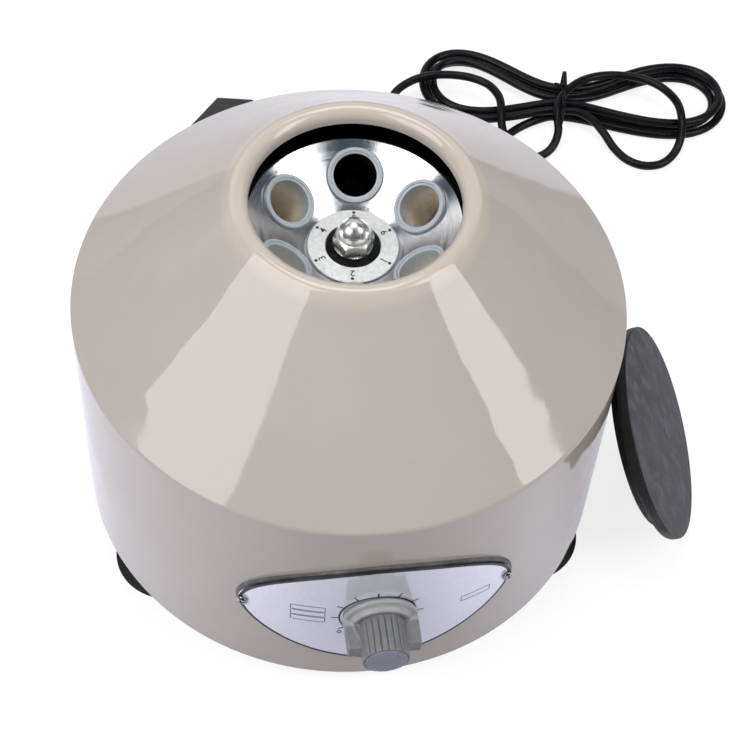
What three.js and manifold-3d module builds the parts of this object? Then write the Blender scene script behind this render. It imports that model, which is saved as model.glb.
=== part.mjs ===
// Mini centrifuge: a drum housing with a coned top, a tilted-tube rotor on a motor shaft, a speed dial,
// a rubber lid standing against the drum and a mains lead tied in a hank behind it.
// Millimetres, +Z up. The front panel with the dial faces -Y.
import * as THREE from 'three';
import { mergeVertices } from 'three/addons/utils/BufferGeometryUtils.js';
import Module from 'manifold-3d';

const wasm = await Module();
wasm.setup();

// Clearances that every fit is made with
const seat = 0.3;
const slipFit = 0.3;
const cutOverrun = 6;

// Housing: a straight drum wall, a cone and a rolled mouth
const drumWall = 2.5;
const skirtBottom = 10;
const ridgeRound = 3;
const coneRise = 73;
const mouthRadius = 47.4;
const mouthAboveRotor = 37.8;
const rollRadius = 5;
const lipDepth = 7.7;

// Chamber drum that stands on the base plate round the rotor and the motor
const chamberGap = 14;
const chamberWall = 1.5;
const chamberFloorGap = 2.1;
const chamberFloorHole = 20;
const chamberWindowWidth = 76;
const chamberWindowDrop = 4.5;

// Base plate and its suction feet
const basePlateThickness = 2;
const ventCount = 12;
const ventRadius = 5;
const ventInset = 48;
const footCount = 3;
const footInset = 25;
const footAngle = -152.6;
const footRadius = 27;
const footLip = 3;
const footCrownRadius = 15;
const footCavityHeight = 4.4;
const footCavityRadius = 11;
const footBoltRadius = 2.5;
const footBoltHeadRadius = 5;
const footBoltHeadHeight = 2;
const footNutAcross = 8;
const footNutHeight = 4;
const footBoltTail = 2.5;

// Motor and its rubber mounts
const mountCircle = 50;
const mountAngle = -90;
const shockRadius = 8;
const shockWaist = 6;
const shockHeight = 12;
const motorPlateRadius = 60;
const motorPlateThickness = 3;
const motorRadius = 40;
const motorWall = 2;
const bellThickness = 3;
const bearingRadius = 11;
const bearingHeight = 7;
const bearingBossWall = 3.2;
const motorCanHeight = 46;
const shaftRadius = 4;
const commutatorRadius = 10;
const commutatorHeight = 9.5;
const commutatorGap = 1.5;
const armatureRadius = 23.3;
const armatureHeight = 16;
const armatureSlots = 12;
const armatureSlotDepth = 7;
const armatureSlotWidth = 3.4;
const armatureBridge = 1.4;
const windingRadius = 19;
const windingHeight = 4.6;
const fieldBore = 24;
const fieldCoilDepth = 9;
const fieldCoilAngle = 64;
const fieldCoilEnd = 4.5;
const brushWidth = 6;
const brushHeight = 5;
const brushLength = 15;
const brushHolderWall = 1.5;
const brushHolderLength = 24;

// Rotor: two spun aluminium cones on a hub, six tilted tube sleeves
const tubeCount = 6;
const tubeTilt = 35;
const tubeCircle = 34.3;
const tubeAngle = -38;
const rotorClearance = 13.6;
const rotorFlatRadius = 21;
const dishRadius = 48.9;
const dishThickness = 2;
const hubRadius = 12;
const hubGap = 11.5;
const hubLength = 77.2;
const lowerConeRadius = 80;
const lowerConeGap = 3;
const spindleRadius = 4.7;
const collarRadius = 8;
const collarHeight = 7;
const sleeveBore = 20;
const sleeveWall = 1.3;
const sleeveLength = 100;
const sleeveFlangeRadius = 12.75;
const sleeveFlangeThickness = 1.6;
const sleeveStand = 0.6;
const sleeveBottomRound = 5;
const numberRingThickness = 1.2;
const washerRadius = 12.4;
const washerThickness = 1.2;
const nutAcross = 16.4;
const nutFlangeRadius = 8.9;
const nutFlangeThickness = 1;
const nutHexHeight = 6.4;
const nutDomeRadius = 7.1;
const nutNeckHeight = 1.6;
const nutDomeStart = 15;
const nutBoreDepth = 10;

// Front panel: nameplate on a backing, speed control and knob
const panelHeight = 72.2;
const plateHalfWidth = 64.6;
const plateHalfHeight = 41.9;
const plateFullness = 1.75;
const plateStand = 1.5;
const plateThickness = 0.8;
const plateMargin = 0.9;
const plateScrewAside = 61.2;
const plateScrewRadius = 1.6;
const plateScrewHead = 2.7;
const plateScrewHeadHeight = 1.8;
const plateScrewLength = 7;
const bushRadius = 3.6;
const bushBore = 3.3;
const potRadius = 8.5;
const potDepth = 9;
const potShaftRadius = 3;
const potShaftInside = 3;
const boardWidth = 62;
const boardTall = 44;
const boardThickness = 1.6;
const boardPartDepth = 12;
const boardPartWidth = 16;
const boardEdge = 4;
const boardSinkDepth = 18;
const boardSinkWidth = 24;
const boardSinkTall = 18;
const knobGap = 0.6;
const knobLength = 23.5;
const knobSkirtRadius = 17.5;
const knobSkirtHeight = 2.6;
const knobShoulderRadius = 14.5;
const knobShoulderHeight = 5.2;
const knobBarrelRadius = 11.1;
const knobRibs = 22;
const knobRibDepth = 0.7;
const knobGrooveShare = 1 / 4;
const knobWingSpan = 34;
const knobWingLength = 18;
const knobWingThickness = 8;
const knobCapRadius = 9.8;
const knobCapDepth = 0.9;
const knobCrown = 3.6;

// Lid: a rubber disc with a plug step, leaning against the drum
const lidRadius = 54.5;
const lidLean = 27;
const lidAngle = -11.84;
const lidFaceAngle = -10.35;
const lidRimThickness = 6;
const lidDome = 2.6;
const lidPlugClearance = 0.8;
const lidPlugDepth = 5;
const lidPlugChamfer = 1.5;
const lidRimTurn = 60;

// Mains lead: its gland, its route, the hank and its tie, and the plug
const cordRadius = 2.5;
const cordSides = 8;
const glandHeight = 35;
const glandFlangeRadius = 9;
const glandFlangeThickness = 2.4;
const glandNeckRadius = 6;
const glandRootRadius = 6.4;
const glandTipRadius = 3.9;
const glandLength = 26;
const hankTurns = 3;
const hankSteps = 24;
const hankSides = 6;
const hankPitch = 6;
const hankLayer = 5.7;
const hankRight = 99.5;
const hankLeft = 85.5;
const hankWaist = 10.4;
const hankSpread = 55;
const hankRounding = 0.35;
const hankBow = 13;
const hankBowReach = 45;
const hankMiddle = [161.5, 233.5];
const hankAngle = -9.58;
const hankOverrun = 0.006;
const hankTieLift = 2.1;
const hankTieReach = 20;
const benchClearance = 0.1;
const tieWidth = 2.4;
const tieThickness = 1.2;
const tieGap = 0.5;
const tieRound = 3;
const plugOrigin = [-45.4, 229.5];
const plugAngle = -9.58;
const plugTopWidth = 20.6;
const plugWidth = 52;
const plugShoulder = 27;
const plugDepth = 48;
const plugBodyHeight = 16;
const plugPinLength = 20;
const plugPinWidth = 6.4;
const plugPinThickness = 4;
const plugEarthWidth = 8;
const plugPinSpacing = 22;
const plugEarthOffset = 22;
const plugEarthInset = 12;
const plugBootLength = 18;
const plugBootRoot = 6;
const plugBootTip = 3.6;
const plugBevel = 1.6;
const plugCorner = 4.8;

// Counts of steps round turned shapes
const drumSteps = 56;
const discSteps = 40;
const partSteps = 20;
const smallSteps = 12;

// Counts of steps along rounded edges
const ridgeSteps = 3;
const rollSteps = 8;
const edgeSteps = 4;

const degrees = Math.PI / 180;

// Heights up the machine, each from the piece below it
const basePlateTop = skirtBottom + basePlateThickness;
const shockBottom = basePlateTop + seat;
const motorPlateBottom = shockBottom + shockHeight + seat;
const bellBottom = motorPlateBottom + motorPlateThickness + seat;
const bellTop = bellBottom + bellThickness;
const canBottom = bellTop + seat;
const canTop = canBottom + motorCanHeight;
const lowerBearingBottom = bellTop + seat;
const commutatorBottom = lowerBearingBottom + bearingHeight + commutatorGap;
const commutatorTop = commutatorBottom + commutatorHeight;
const lowerWindingBottom = commutatorTop + seat;
const coreBottom = lowerWindingBottom + windingHeight + seat;
const coreTop = coreBottom + armatureHeight;
const upperWindingBottom = coreTop + seat;
const upperBellBottom = canTop + seat;
const upperBearingBottom = upperBellBottom;
const upperBossTop = upperBearingBottom + bearingHeight + seat;
const chamberFloor = upperBossTop + bearingBossWall / 2 + chamberFloorGap;
const hubBottom = chamberFloor + hubGap;
const rotorFaceHeight = hubBottom + hubLength;
const nutBottom = rotorFaceHeight + seat + washerThickness + seat;
const mouthHeight = rotorFaceHeight + mouthAboveRotor;
const ridgeHeight = mouthHeight - coneRise;

// Sizes across the machine, each from the rotor inside it
const tubeSlope = Math.tan(tubeTilt * degrees);
const sleeveRadius = sleeveBore / 2 + sleeveWall;
const sleeveReach = tubeCircle + sleeveLength * Math.sin(tubeTilt * degrees)
  + sleeveRadius * Math.cos(tubeTilt * degrees);
const chamberRadius = sleeveReach + rotorClearance + chamberWall;
const drumRadius = chamberRadius + chamberGap;
const plateBend = drumRadius + plateStand;
const footCircle = drumRadius - footInset;
const ventCircle = drumRadius - ventInset;
const panelFace = -(plateBend + plateThickness);

// A closed three.js geometry with its shared corners merged, as a solid that can be cut and joined
function solidOf(geometry) {
  const bare = (geometry.index ? geometry.toNonIndexed() : geometry).clone();
  bare.deleteAttribute('normal');
  bare.deleteAttribute('uv');
  const merged = mergeVertices(bare, 1e-4);
  const position = merged.attributes.position;
  const corners = merged.index.array;
  const faces = [];
  let volume = 0;
  const [a, b, c] = [new THREE.Vector3(), new THREE.Vector3(), new THREE.Vector3()];
  for (let i = 0; i < corners.length; i += 3) {
    const [p, q, r] = [corners[i], corners[i + 1], corners[i + 2]];
    if (p === q || q === r || r === p) continue;
    faces.push(p, q, r);
    a.fromBufferAttribute(position, p);
    b.fromBufferAttribute(position, q);
    c.fromBufferAttribute(position, r);
    volume += a.dot(b.cross(c));
  }
  if (volume < 0) {
    for (let i = 0; i < faces.length; i += 3) [faces[i], faces[i + 1]] = [faces[i + 1], faces[i]];
  }
  return new wasm.Manifold(new wasm.Mesh({
    numProp: 3,
    vertProperties: new Float32Array(position.array),
    triVerts: new Uint32Array(faces),
  }));
}

// The solid's surface as a plain three.js geometry
function geometryOf(solid) {
  const mesh = solid.getMesh();
  const geometry = new THREE.BufferGeometry();
  const points = new Float32Array(mesh.numVert * 3);
  for (let i = 0; i < mesh.numVert; i += 1) {
    for (let k = 0; k < 3; k += 1) points[i * 3 + k] = mesh.vertProperties[i * mesh.numProp + k];
  }
  geometry.setAttribute('position', new THREE.BufferAttribute(points, 3));
  geometry.setIndex(new THREE.BufferAttribute(new Uint32Array(mesh.triVerts), 1));
  geometry.computeVertexNormals();
  return geometry;
}

// A ring or disc turned round Z from a closed outline of [radius, height] corners
function turned(outline, steps = partSteps) {
  const profile = outline.map(([r, z]) => new THREE.Vector2(r, z));
  profile.push(profile[0].clone());
  return solidOf(new THREE.LatheGeometry(profile, steps).rotateX(Math.PI / 2));
}

// A stepped round bar along Z from [bottom, top, radius] steps, its faces meeting
function bar(sections, steps = partSteps) {
  const outline = [[0, sections[0][0]]];
  for (const [bottom, top, radius] of sections) outline.push([radius, bottom], [radius, top]);
  outline.push([0, sections.at(-1)[1]]);
  return turned(outline, steps);
}

// A straight round cutter or pin of one radius between two heights
function rod(radius, bottom, top, steps = smallSteps) {
  return bar([[bottom, top, radius]], steps);
}

// A plain block between two corners
function block(low, high) {
  const size = high.map((value, i) => value - low[i]);
  const middle = high.map((value, i) => (value + low[i]) / 2);
  return solidOf(new THREE.BoxGeometry(...size).translate(...middle));
}

// A flat outline of [x, y] corners raised along Z
function raised(outline, bottom, top, curveSegments = partSteps) {
  const shape = outline instanceof THREE.Shape
    ? outline
    : new THREE.Shape(outline.map(([x, y]) => new THREE.Vector2(x, y)));
  const geometry = new THREE.ExtrudeGeometry(shape, {
    depth: top - bottom, bevelEnabled: false, curveSegments,
  });
  return solidOf(geometry.translate(0, 0, bottom));
}

// A solid laid from the +Z direction onto the panel's -Y direction, at the dial's height
function onPanel(solid) {
  return solid.rotate([90, 0, 0]).translate([0, 0, panelHeight]);
}

// Points along an arc of [r, z] corners, angles in degrees
function arc(centreR, centreZ, radius, from, to, steps) {
  return Array.from({ length: steps + 1 }, (_, i) => {
    const angle = (from + (to - from) * i / steps) * degrees;
    return [centreR + radius * Math.cos(angle), centreZ + radius * Math.sin(angle)];
  });
}

const whole = new THREE.Group();
const lead = new THREE.Group();

function add(name, solid, look, parent = whole) {
  const mesh = new THREE.Mesh(geometryOf(solid), new THREE.MeshStandardMaterial(look));
  mesh.name = name;
  parent.add(mesh);
  return mesh;
}

// Finishes seen on the object
const paintedGrey = { color: 0xb7afa8, roughness: 0.18, metalness: 0 };
const blackPaint = { color: 0x161514, roughness: 0.6, metalness: 0 };
const zincSteel = { color: 0xa9abac, roughness: 0.45, metalness: 0.9 };
const blackRubber = { color: 0x121213, roughness: 0.75, metalness: 0 };
const polishedAluminium = { color: 0xdfe2e4, roughness: 0.12, metalness: 1 };
const brightSteel = { color: 0xc9ccce, roughness: 0.2, metalness: 1 };
const copper = { color: 0xb5683a, roughness: 0.4, metalness: 0.9 };
const laminatedIron = { color: 0x5b5d60, roughness: 0.55, metalness: 0.8 };
const carbon = { color: 0x2b2b2c, roughness: 0.8, metalness: 0 };
const brass = { color: 0xb8954a, roughness: 0.35, metalness: 0.9 };
const clearPlastic = { color: 0xc3c8ca, roughness: 0.3, metalness: 0 };
const darkPlastic = { color: 0x2f3133, roughness: 0.5, metalness: 0 };
const satinPlate = { color: 0xc2c3cb, roughness: 0.35, metalness: 0.6 };
const knobGrey = { color: 0x77777a, roughness: 0.45, metalness: 0 };
const knobBlue = { color: 0x5f606c, roughness: 0.35, metalness: 0 };
const lidRubber = { color: 0x5c5b60, roughness: 0.85, metalness: 0 };
const boardGreen = { color: 0x2f6b45, roughness: 0.5, metalness: 0 };
const cordBlack = { color: 0x171718, roughness: 0.45, metalness: 0 };

// The cone runs from the ridge to touch the roll of the mouth: its slope and its height at a radius
const rollMiddle = mouthRadius + rollRadius;
const rollCentre = mouthHeight - rollRadius;
const [rollAcross, rollUp] = [drumRadius - rollMiddle, rollCentre - ridgeHeight];
const coneAngle = (Math.atan2(rollUp, rollAcross)
  + Math.asin(rollRadius / Math.hypot(rollAcross, rollUp))) / degrees;
const coneTopRadius = rollMiddle + rollRadius * Math.sin(coneAngle * degrees);
const coneHeightAt = (radius) => ridgeHeight + (drumRadius - radius) * Math.tan(coneAngle * degrees);
const coneInsideAt = (radius) => coneHeightAt(radius) - drumWall / Math.cos(coneAngle * degrees);

// The screws of the nameplate sit square to the drum, one at each end of the oval
const plateScrewAngle = Math.asin(plateScrewAside / plateBend) / degrees;
const plateScrewAngles = [-plateScrewAngle, plateScrewAngle];
function onScrewAxis(solid, turn) {
  return onPanel(solid).rotate([0, 0, turn]);
}

// How far out the drum's inner face is at a distance to the side of a wall fitting's axis
const wallInsideAt = (aside) => Math.sqrt(
  ((drumRadius - drumWall) * Math.cos(Math.PI / drumSteps)) ** 2 - aside ** 2);

function addHousing() {
  const ridgeInset = ridgeRound * Math.tan(coneAngle / 2 * degrees);
  const outline = [
    [drumRadius, skirtBottom],
    ...arc(drumRadius - ridgeRound, ridgeHeight - ridgeInset, ridgeRound, 0, 90 - coneAngle, ridgeSteps),
    ...arc(rollMiddle, rollCentre, rollRadius, 90 - coneAngle, 180, rollSteps),
    [mouthRadius, mouthHeight - lipDepth],
    [mouthRadius + drumWall, mouthHeight - lipDepth],
    [mouthRadius + drumWall, coneInsideAt(coneTopRadius)],
    [coneTopRadius, coneInsideAt(coneTopRadius)],
    [drumRadius - drumWall, coneInsideAt(drumRadius - drumWall)],
    [drumRadius - drumWall, skirtBottom],
  ];
  let shell = turned(outline, drumSteps);
  const throughWall = [drumRadius - drumWall - cutOverrun, drumRadius + cutOverrun];
  shell = shell.subtract(onPanel(rod(bushRadius + slipFit, ...throughWall)));
  for (const turn of plateScrewAngles) {
    shell = shell.subtract(onScrewAxis(rod(plateScrewRadius + slipFit, ...throughWall), turn));
  }
  const glandHole = rod(glandNeckRadius + slipFit, ...throughWall)
    .rotate([-90, 0, 0]).translate([0, 0, glandHeight]);
  add('housing', shell.subtract(glandHole), paintedGrey);
}

function addChamber() {
  const inside = chamberRadius - chamberWall;
  const top = coneInsideAt(chamberRadius) - seat;
  const drum = turned([
    [chamberRadius, basePlateTop + seat],
    [chamberRadius, top],
    [inside, top],
    [inside, chamberFloor + chamberWall],
    [chamberFloorHole, chamberFloor + chamberWall],
    [chamberFloorHole, chamberFloor],
    [inside, chamberFloor],
    [inside, basePlateTop + seat],
  ], drumSteps);
  const half = chamberWindowWidth / 2;
  const window = block([-half, -chamberRadius - cutOverrun, basePlateTop - cutOverrun],
    [half, -chamberRadius / 2, chamberFloor - chamberWindowDrop]);
  add('chamber_drum', drum.subtract(window), blackPaint);
}

const footAngles = Array.from({ length: footCount }, (_, i) => footAngle + i * 360 / footCount);
const around = (angle, radius) => [radius * Math.cos(angle * degrees), radius * Math.sin(angle * degrees)];

function addBase() {
  const edge = drumRadius - drumWall - slipFit;
  let plate = bar([[skirtBottom, basePlateTop, edge]], drumSteps);
  for (const angle of footAngles) {
    const hole = rod(footBoltRadius + slipFit, skirtBottom - cutOverrun, basePlateTop + cutOverrun);
    plate = plate.subtract(hole.translate([...around(angle, footCircle), 0]));
  }
  for (let i = 0; i < ventCount; i += 1) {
    const hole = rod(ventRadius, skirtBottom - cutOverrun, basePlateTop + cutOverrun, smallSteps / 2);
    plate = plate.subtract(hole.translate([...around((i + 1 / 2) * 360 / ventCount, ventCircle), 0]));
  }
  add('base_plate', plate, zincSteel);
}

function addFeet() {
  const crown = skirtBottom - seat;
  const cup = turned([
    [footBoltRadius + slipFit, footCavityHeight + footBoltHeadHeight / 2],
    [footCavityRadius, footCavityHeight],
    [footRadius - footLip, 0],
    [footRadius, 0],
    [footRadius, footLip / 2],
    [footCrownRadius + footLip, crown - footLip / 2],
    [footCrownRadius, crown],
    [footBoltRadius + slipFit, crown],
  ], partSteps);
  const headTop = footCavityHeight - seat;
  const nutTop = basePlateTop + seat + footNutHeight;
  const bolt = bar([
    [headTop - footBoltHeadHeight, headTop, footBoltHeadRadius],
    [headTop, nutTop + footBoltTail, footBoltRadius],
  ], smallSteps).add(solidOf(new THREE.CylinderGeometry(
    footNutAcross / Math.sqrt(3), footNutAcross / Math.sqrt(3), footNutHeight, 6,
  ).rotateX(Math.PI / 2).translate(0, 0, basePlateTop + seat + footNutHeight / 2)));
  footAngles.forEach((angle, i) => {
    const place = [...around(angle, footCircle), 0];
    add(`suction_foot_${i + 1}`, cup.translate(place), blackRubber);
    add(`foot_bolt_${i + 1}`, bolt.translate(place), zincSteel);
  });
}

const rotorBore = spindleRadius + slipFit;

function addMotorMounts() {
  const shock = turned([
    [0, shockBottom], [shockRadius, shockBottom],
    [shockWaist, shockBottom + shockHeight / 2],
    [shockRadius, shockBottom + shockHeight], [0, shockBottom + shockHeight],
  ], smallSteps);
  for (let i = 0; i < footCount; i += 1) {
    const place = around(mountAngle + i * 360 / footCount, mountCircle);
    add(`shock_mount_${i + 1}`, shock.translate([...place, 0]), blackRubber);
  }
  const plateTop = motorPlateBottom + motorPlateThickness;
  add('motor_plate', bar([[motorPlateBottom, plateTop, motorPlateRadius]]), zincSteel);
}

function addMotorCase() {
  const boss = bearingRadius + slipFit;
  add('lower_end_bell', turned([
    [0, bellBottom], [motorRadius, bellBottom], [motorRadius, bellTop],
    [boss + bearingBossWall, bellTop], [boss + bearingBossWall, lowerBearingBottom + bearingHeight],
    [boss, lowerBearingBottom + bearingHeight], [boss, bellTop], [0, bellTop],
  ]), zincSteel);
  const can = turned([
    [motorRadius, canBottom], [motorRadius, canTop],
    [motorRadius - motorWall, canTop], [motorRadius - motorWall, canBottom],
  ]);
  const middle = (commutatorBottom + commutatorTop) / 2;
  const holeWidth = brushWidth / 2 + brushHolderWall + slipFit;
  const holeHeight = brushHeight / 2 + brushHolderWall + slipFit;
  const reach = motorRadius + cutOverrun;
  const brushHole = block([-reach, -holeWidth, middle - holeHeight], [reach, holeWidth, middle + holeHeight]);
  add('motor_can', can.subtract(brushHole), zincSteel);
  add('upper_end_bell', turned([
    [boss, upperBellBottom], [motorRadius, upperBellBottom],
    [motorRadius, upperBellBottom + bellThickness],
    [boss + bearingBossWall, upperBellBottom + bellThickness],
    [boss + bearingBossWall, upperBossTop + bearingBossWall / 2],
    [shaftRadius + slipFit, upperBossTop + bearingBossWall / 2],
    [shaftRadius + slipFit, upperBossTop], [boss, upperBossTop],
  ]), zincSteel);
  const bearing = (bottom) => turned([
    [shaftRadius + slipFit, bottom], [bearingRadius, bottom],
    [bearingRadius, bottom + bearingHeight], [shaftRadius + slipFit, bottom + bearingHeight],
  ]);
  add('lower_bearing', bearing(lowerBearingBottom), brightSteel);
  add('upper_bearing', bearing(upperBearingBottom), brightSteel);
}

function addMotorField() {
  const coreRadius = motorRadius - motorWall - slipFit;
  const ring = turned([
    [coreRadius, coreBottom], [coreRadius, coreTop], [fieldBore, coreTop], [fieldBore, coreBottom],
  ]);
  const sector = (inner, outer, half, bottom, top) => {
    const shape = new THREE.Shape();
    shape.absarc(0, 0, outer, -half * degrees, half * degrees, false);
    shape.absarc(0, 0, inner, half * degrees, -half * degrees, true);
    return raised(shape, bottom, top, smallSteps / 2);
  };
  const coilInside = fieldBore + slipFit * 2;
  const coilOutside = fieldBore + fieldCoilDepth;
  const half = fieldCoilAngle / 2;
  const spare = slipFit / fieldBore / degrees * 2;
  const slot = sector(fieldBore - cutOverrun, coilOutside + slipFit, half + spare,
    coreBottom - cutOverrun, coreTop + cutOverrun);
  const coil = sector(coilInside, coilOutside, half, coreBottom - fieldCoilEnd, coreTop + fieldCoilEnd);
  let core = ring;
  [90, 270].forEach((turn, i) => {
    core = core.subtract(slot.rotate([0, 0, turn]));
    add(`field_coil_${i + 1}`, coil.rotate([0, 0, turn]), copper);
  });
  add('field_core', core, laminatedIron);
}

function addArmature() {
  const bore = shaftRadius + slipFit;
  const outline = [];
  const pitch = 360 / armatureSlots;
  const mouthAngle = armatureSlotWidth / 2 / armatureRadius / degrees;
  const slotAngle = armatureSlotWidth / armatureRadius / degrees;
  for (let i = 0; i < armatureSlots; i += 1) {
    const centre = i * pitch;
    const neck = armatureRadius - armatureBridge;
    outline.push(around(centre - mouthAngle, armatureRadius), around(centre - mouthAngle, neck));
    outline.push(around(centre - slotAngle, neck));
    outline.push(around(centre - slotAngle, armatureRadius - armatureSlotDepth));
    outline.push(around(centre + slotAngle, armatureRadius - armatureSlotDepth));
    outline.push(around(centre + slotAngle, neck));
    outline.push(around(centre + mouthAngle, neck), around(centre + mouthAngle, armatureRadius));
    outline.push(around(centre + pitch / 2, armatureRadius));
  }
  const stack = raised(outline, coreBottom, coreTop)
    .subtract(rod(bore, coreBottom - cutOverrun, coreTop + cutOverrun));
  add('armature_core', stack, laminatedIron);
  const ring = (bottom, height, radius) => turned([
    [bore, bottom], [radius, bottom], [radius, bottom + height], [bore, bottom + height],
  ]);
  add('armature_winding_bottom', ring(lowerWindingBottom, windingHeight, windingRadius), copper);
  add('armature_winding_top', ring(upperWindingBottom, windingHeight, windingRadius), copper);
  add('commutator', ring(commutatorBottom, commutatorHeight, commutatorRadius), brass);
  const threadTop = nutBottom + nutBoreDepth - seat;
  add('motor_shaft', bar([
    [lowerBearingBottom, hubBottom - collarHeight, shaftRadius],
    [hubBottom - collarHeight, hubBottom - seat, collarRadius],
    [hubBottom - seat, threadTop, spindleRadius],
  ], smallSteps), brightSteel);
}

function addBrushes() {
  const middle = (commutatorBottom + commutatorTop) / 2;
  const from = commutatorRadius + seat;
  const holderFrom = from + brushLength / 3;
  const [w, h] = [brushWidth / 2, brushHeight / 2];
  const brush = block([from, -w, middle - h], [from + brushLength, w, middle + h]);
  const [outW, outH] = [w + slipFit + brushHolderWall, h + slipFit + brushHolderWall];
  const sleeve = block([holderFrom, -outW + slipFit, middle - outH + slipFit],
    [holderFrom + brushHolderLength, outW - slipFit, middle + outH - slipFit])
    .subtract(block([holderFrom - cutOverrun, -w - slipFit, middle - h - slipFit],
      [holderFrom + brushHolderLength - brushHolderWall, w + slipFit, middle + h + slipFit]));
  [0, 180].forEach((turn, i) => {
    add(`brush_${i + 1}`, brush.rotate([0, 0, turn]), carbon);
    add(`brush_holder_${i + 1}`, sleeve.rotate([0, 0, turn]), darkPlastic);
  });
}

// The rotor turns as one, so its pieces share the tube axes
const dishTopAt = (radius) => rotorFaceHeight + (radius - rotorFlatRadius) * tubeSlope;
const tubeAngles = Array.from({ length: tubeCount }, (_, i) => tubeAngle - i * 360 / tubeCount);

// A solid drawn along Z with the flange's underside at 0, laid on one tube axis
function onTubeAxis(solid, angle) {
  return solid.rotate([0, -tubeTilt, 0])
    .translate([tubeCircle, 0, dishTopAt(tubeCircle) + sleeveStand / Math.cos(tubeTilt * degrees)])
    .rotate([0, 0, angle]);
}

function addRotor() {
  const holes = tubeAngles.map((angle) => onTubeAxis(
    rod(sleeveRadius + slipFit, -sleeveLength, cutOverrun, partSteps), angle));
  const flangeSeats = tubeAngles.map((angle) => onTubeAxis(
    rod(sleeveFlangeRadius + slipFit, -seat, cutOverrun, partSteps), angle));
  const bored = (solid, cutters) => cutters.reduce((left, cutter) => left.subtract(cutter), solid);
  const lift = dishThickness / Math.cos(tubeTilt * degrees);
  const dishEdge = dishTopAt(dishRadius);
  const dish = turned([
    [rotorBore, rotorFaceHeight - dishThickness],
    [rotorFlatRadius, rotorFaceHeight - dishThickness],
    [rotorFlatRadius + dishThickness / 2, rotorFaceHeight - dishThickness],
    [dishRadius, dishEdge - lift],
    [dishRadius, dishEdge],
    [rotorFlatRadius, rotorFaceHeight],
    [rotorBore, rotorFaceHeight],
  ], drumSteps);
  add('rotor_dish', bored(bored(dish, holes), flangeSeats), polishedAluminium);
  const hubTop = rotorFaceHeight - dishThickness - seat;
  add('rotor_hub', turned([
    [rotorBore, hubBottom], [hubRadius, hubBottom], [hubRadius, hubTop], [rotorBore, hubTop],
  ]), polishedAluminium);
  const lowerInner = hubRadius + slipFit;
  const lowerStart = hubBottom + lowerConeGap;
  const lowerEdge = lowerStart + (lowerConeRadius - lowerInner) * tubeSlope;
  const lower = turned([
    [lowerInner, lowerStart], [lowerConeRadius, lowerEdge],
    [lowerConeRadius, lowerEdge + lift], [lowerInner, lowerStart + lift],
  ], discSteps);
  add('rotor_lower_cone', bored(lower, holes), polishedAluminium);
}

function addSleeves() {
  const bore = sleeveBore / 2;
  const tube = turned([
    [0, -sleeveLength],
    ...arc(sleeveRadius - sleeveBottomRound, sleeveBottomRound - sleeveLength, sleeveBottomRound,
      -90, 0, ridgeSteps),
    [sleeveRadius, 0],
    [sleeveFlangeRadius, 0],
    [sleeveFlangeRadius, sleeveFlangeThickness],
    [bore, sleeveFlangeThickness],
    ...arc(bore - sleeveBottomRound + sleeveWall, sleeveBottomRound - sleeveLength,
      sleeveBottomRound - sleeveWall, 0, -90, ridgeSteps),
    [0, sleeveWall - sleeveLength],
  ], partSteps);
  tubeAngles.forEach((angle, i) => {
    add(`tube_sleeve_${i + 1}`, onTubeAxis(tube, angle), clearPlastic);
  });
}

function addHubTop() {
  const base = rotorFaceHeight + seat;
  add('number_ring', turned([
    [washerRadius + slipFit, base], [rotorFlatRadius - slipFit, base],
    [rotorFlatRadius - slipFit, base + numberRingThickness],
    [washerRadius + slipFit, base + numberRingThickness],
  ], discSteps), satinPlate);
  add('rubber_washer', turned([
    [rotorBore, base], [washerRadius, base],
    [washerRadius, base + washerThickness], [rotorBore, base + washerThickness],
  ]), blackRubber);
  const hexRadius = nutAcross / Math.sqrt(3);
  const hexBottom = nutBottom + nutFlangeThickness;
  const hexTop = hexBottom + nutHexHeight;
  const hex = solidOf(new THREE.CylinderGeometry(hexRadius, hexRadius, nutHexHeight, 6)
    .rotateX(Math.PI / 2).translate(0, 0, (hexBottom + hexTop) / 2));
  const round = turned([
    [0, nutBottom], [nutFlangeRadius, nutBottom], [nutFlangeRadius, hexBottom], [nutDomeRadius, hexBottom],
    [nutDomeRadius, hexTop + nutNeckHeight],
    ...arc(0, hexTop + nutNeckHeight, nutDomeRadius, nutDomeStart, 90, edgeSteps + 1),
  ]);
  const bore = rod(rotorBore, nutBottom - cutOverrun, nutBottom + nutBoreDepth);
  add('cap_nut', round.add(hex).subtract(bore), brightSteel);
}

// The plate's oval, its ends a little more pointed than an ellipse's, its middle at the dial
function oval(margin, bottom, top) {
  const along = (share) => Math.sign(share) * Math.abs(share) ** (2 / plateFullness);
  return raised(Array.from({ length: discSteps }, (_, i) => {
    const turn = 2 * Math.PI * i / discSteps;
    return [(plateHalfWidth - margin) * along(Math.cos(turn)),
      (plateHalfHeight - margin) * along(Math.sin(turn))];
  }), bottom, top);
}

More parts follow.
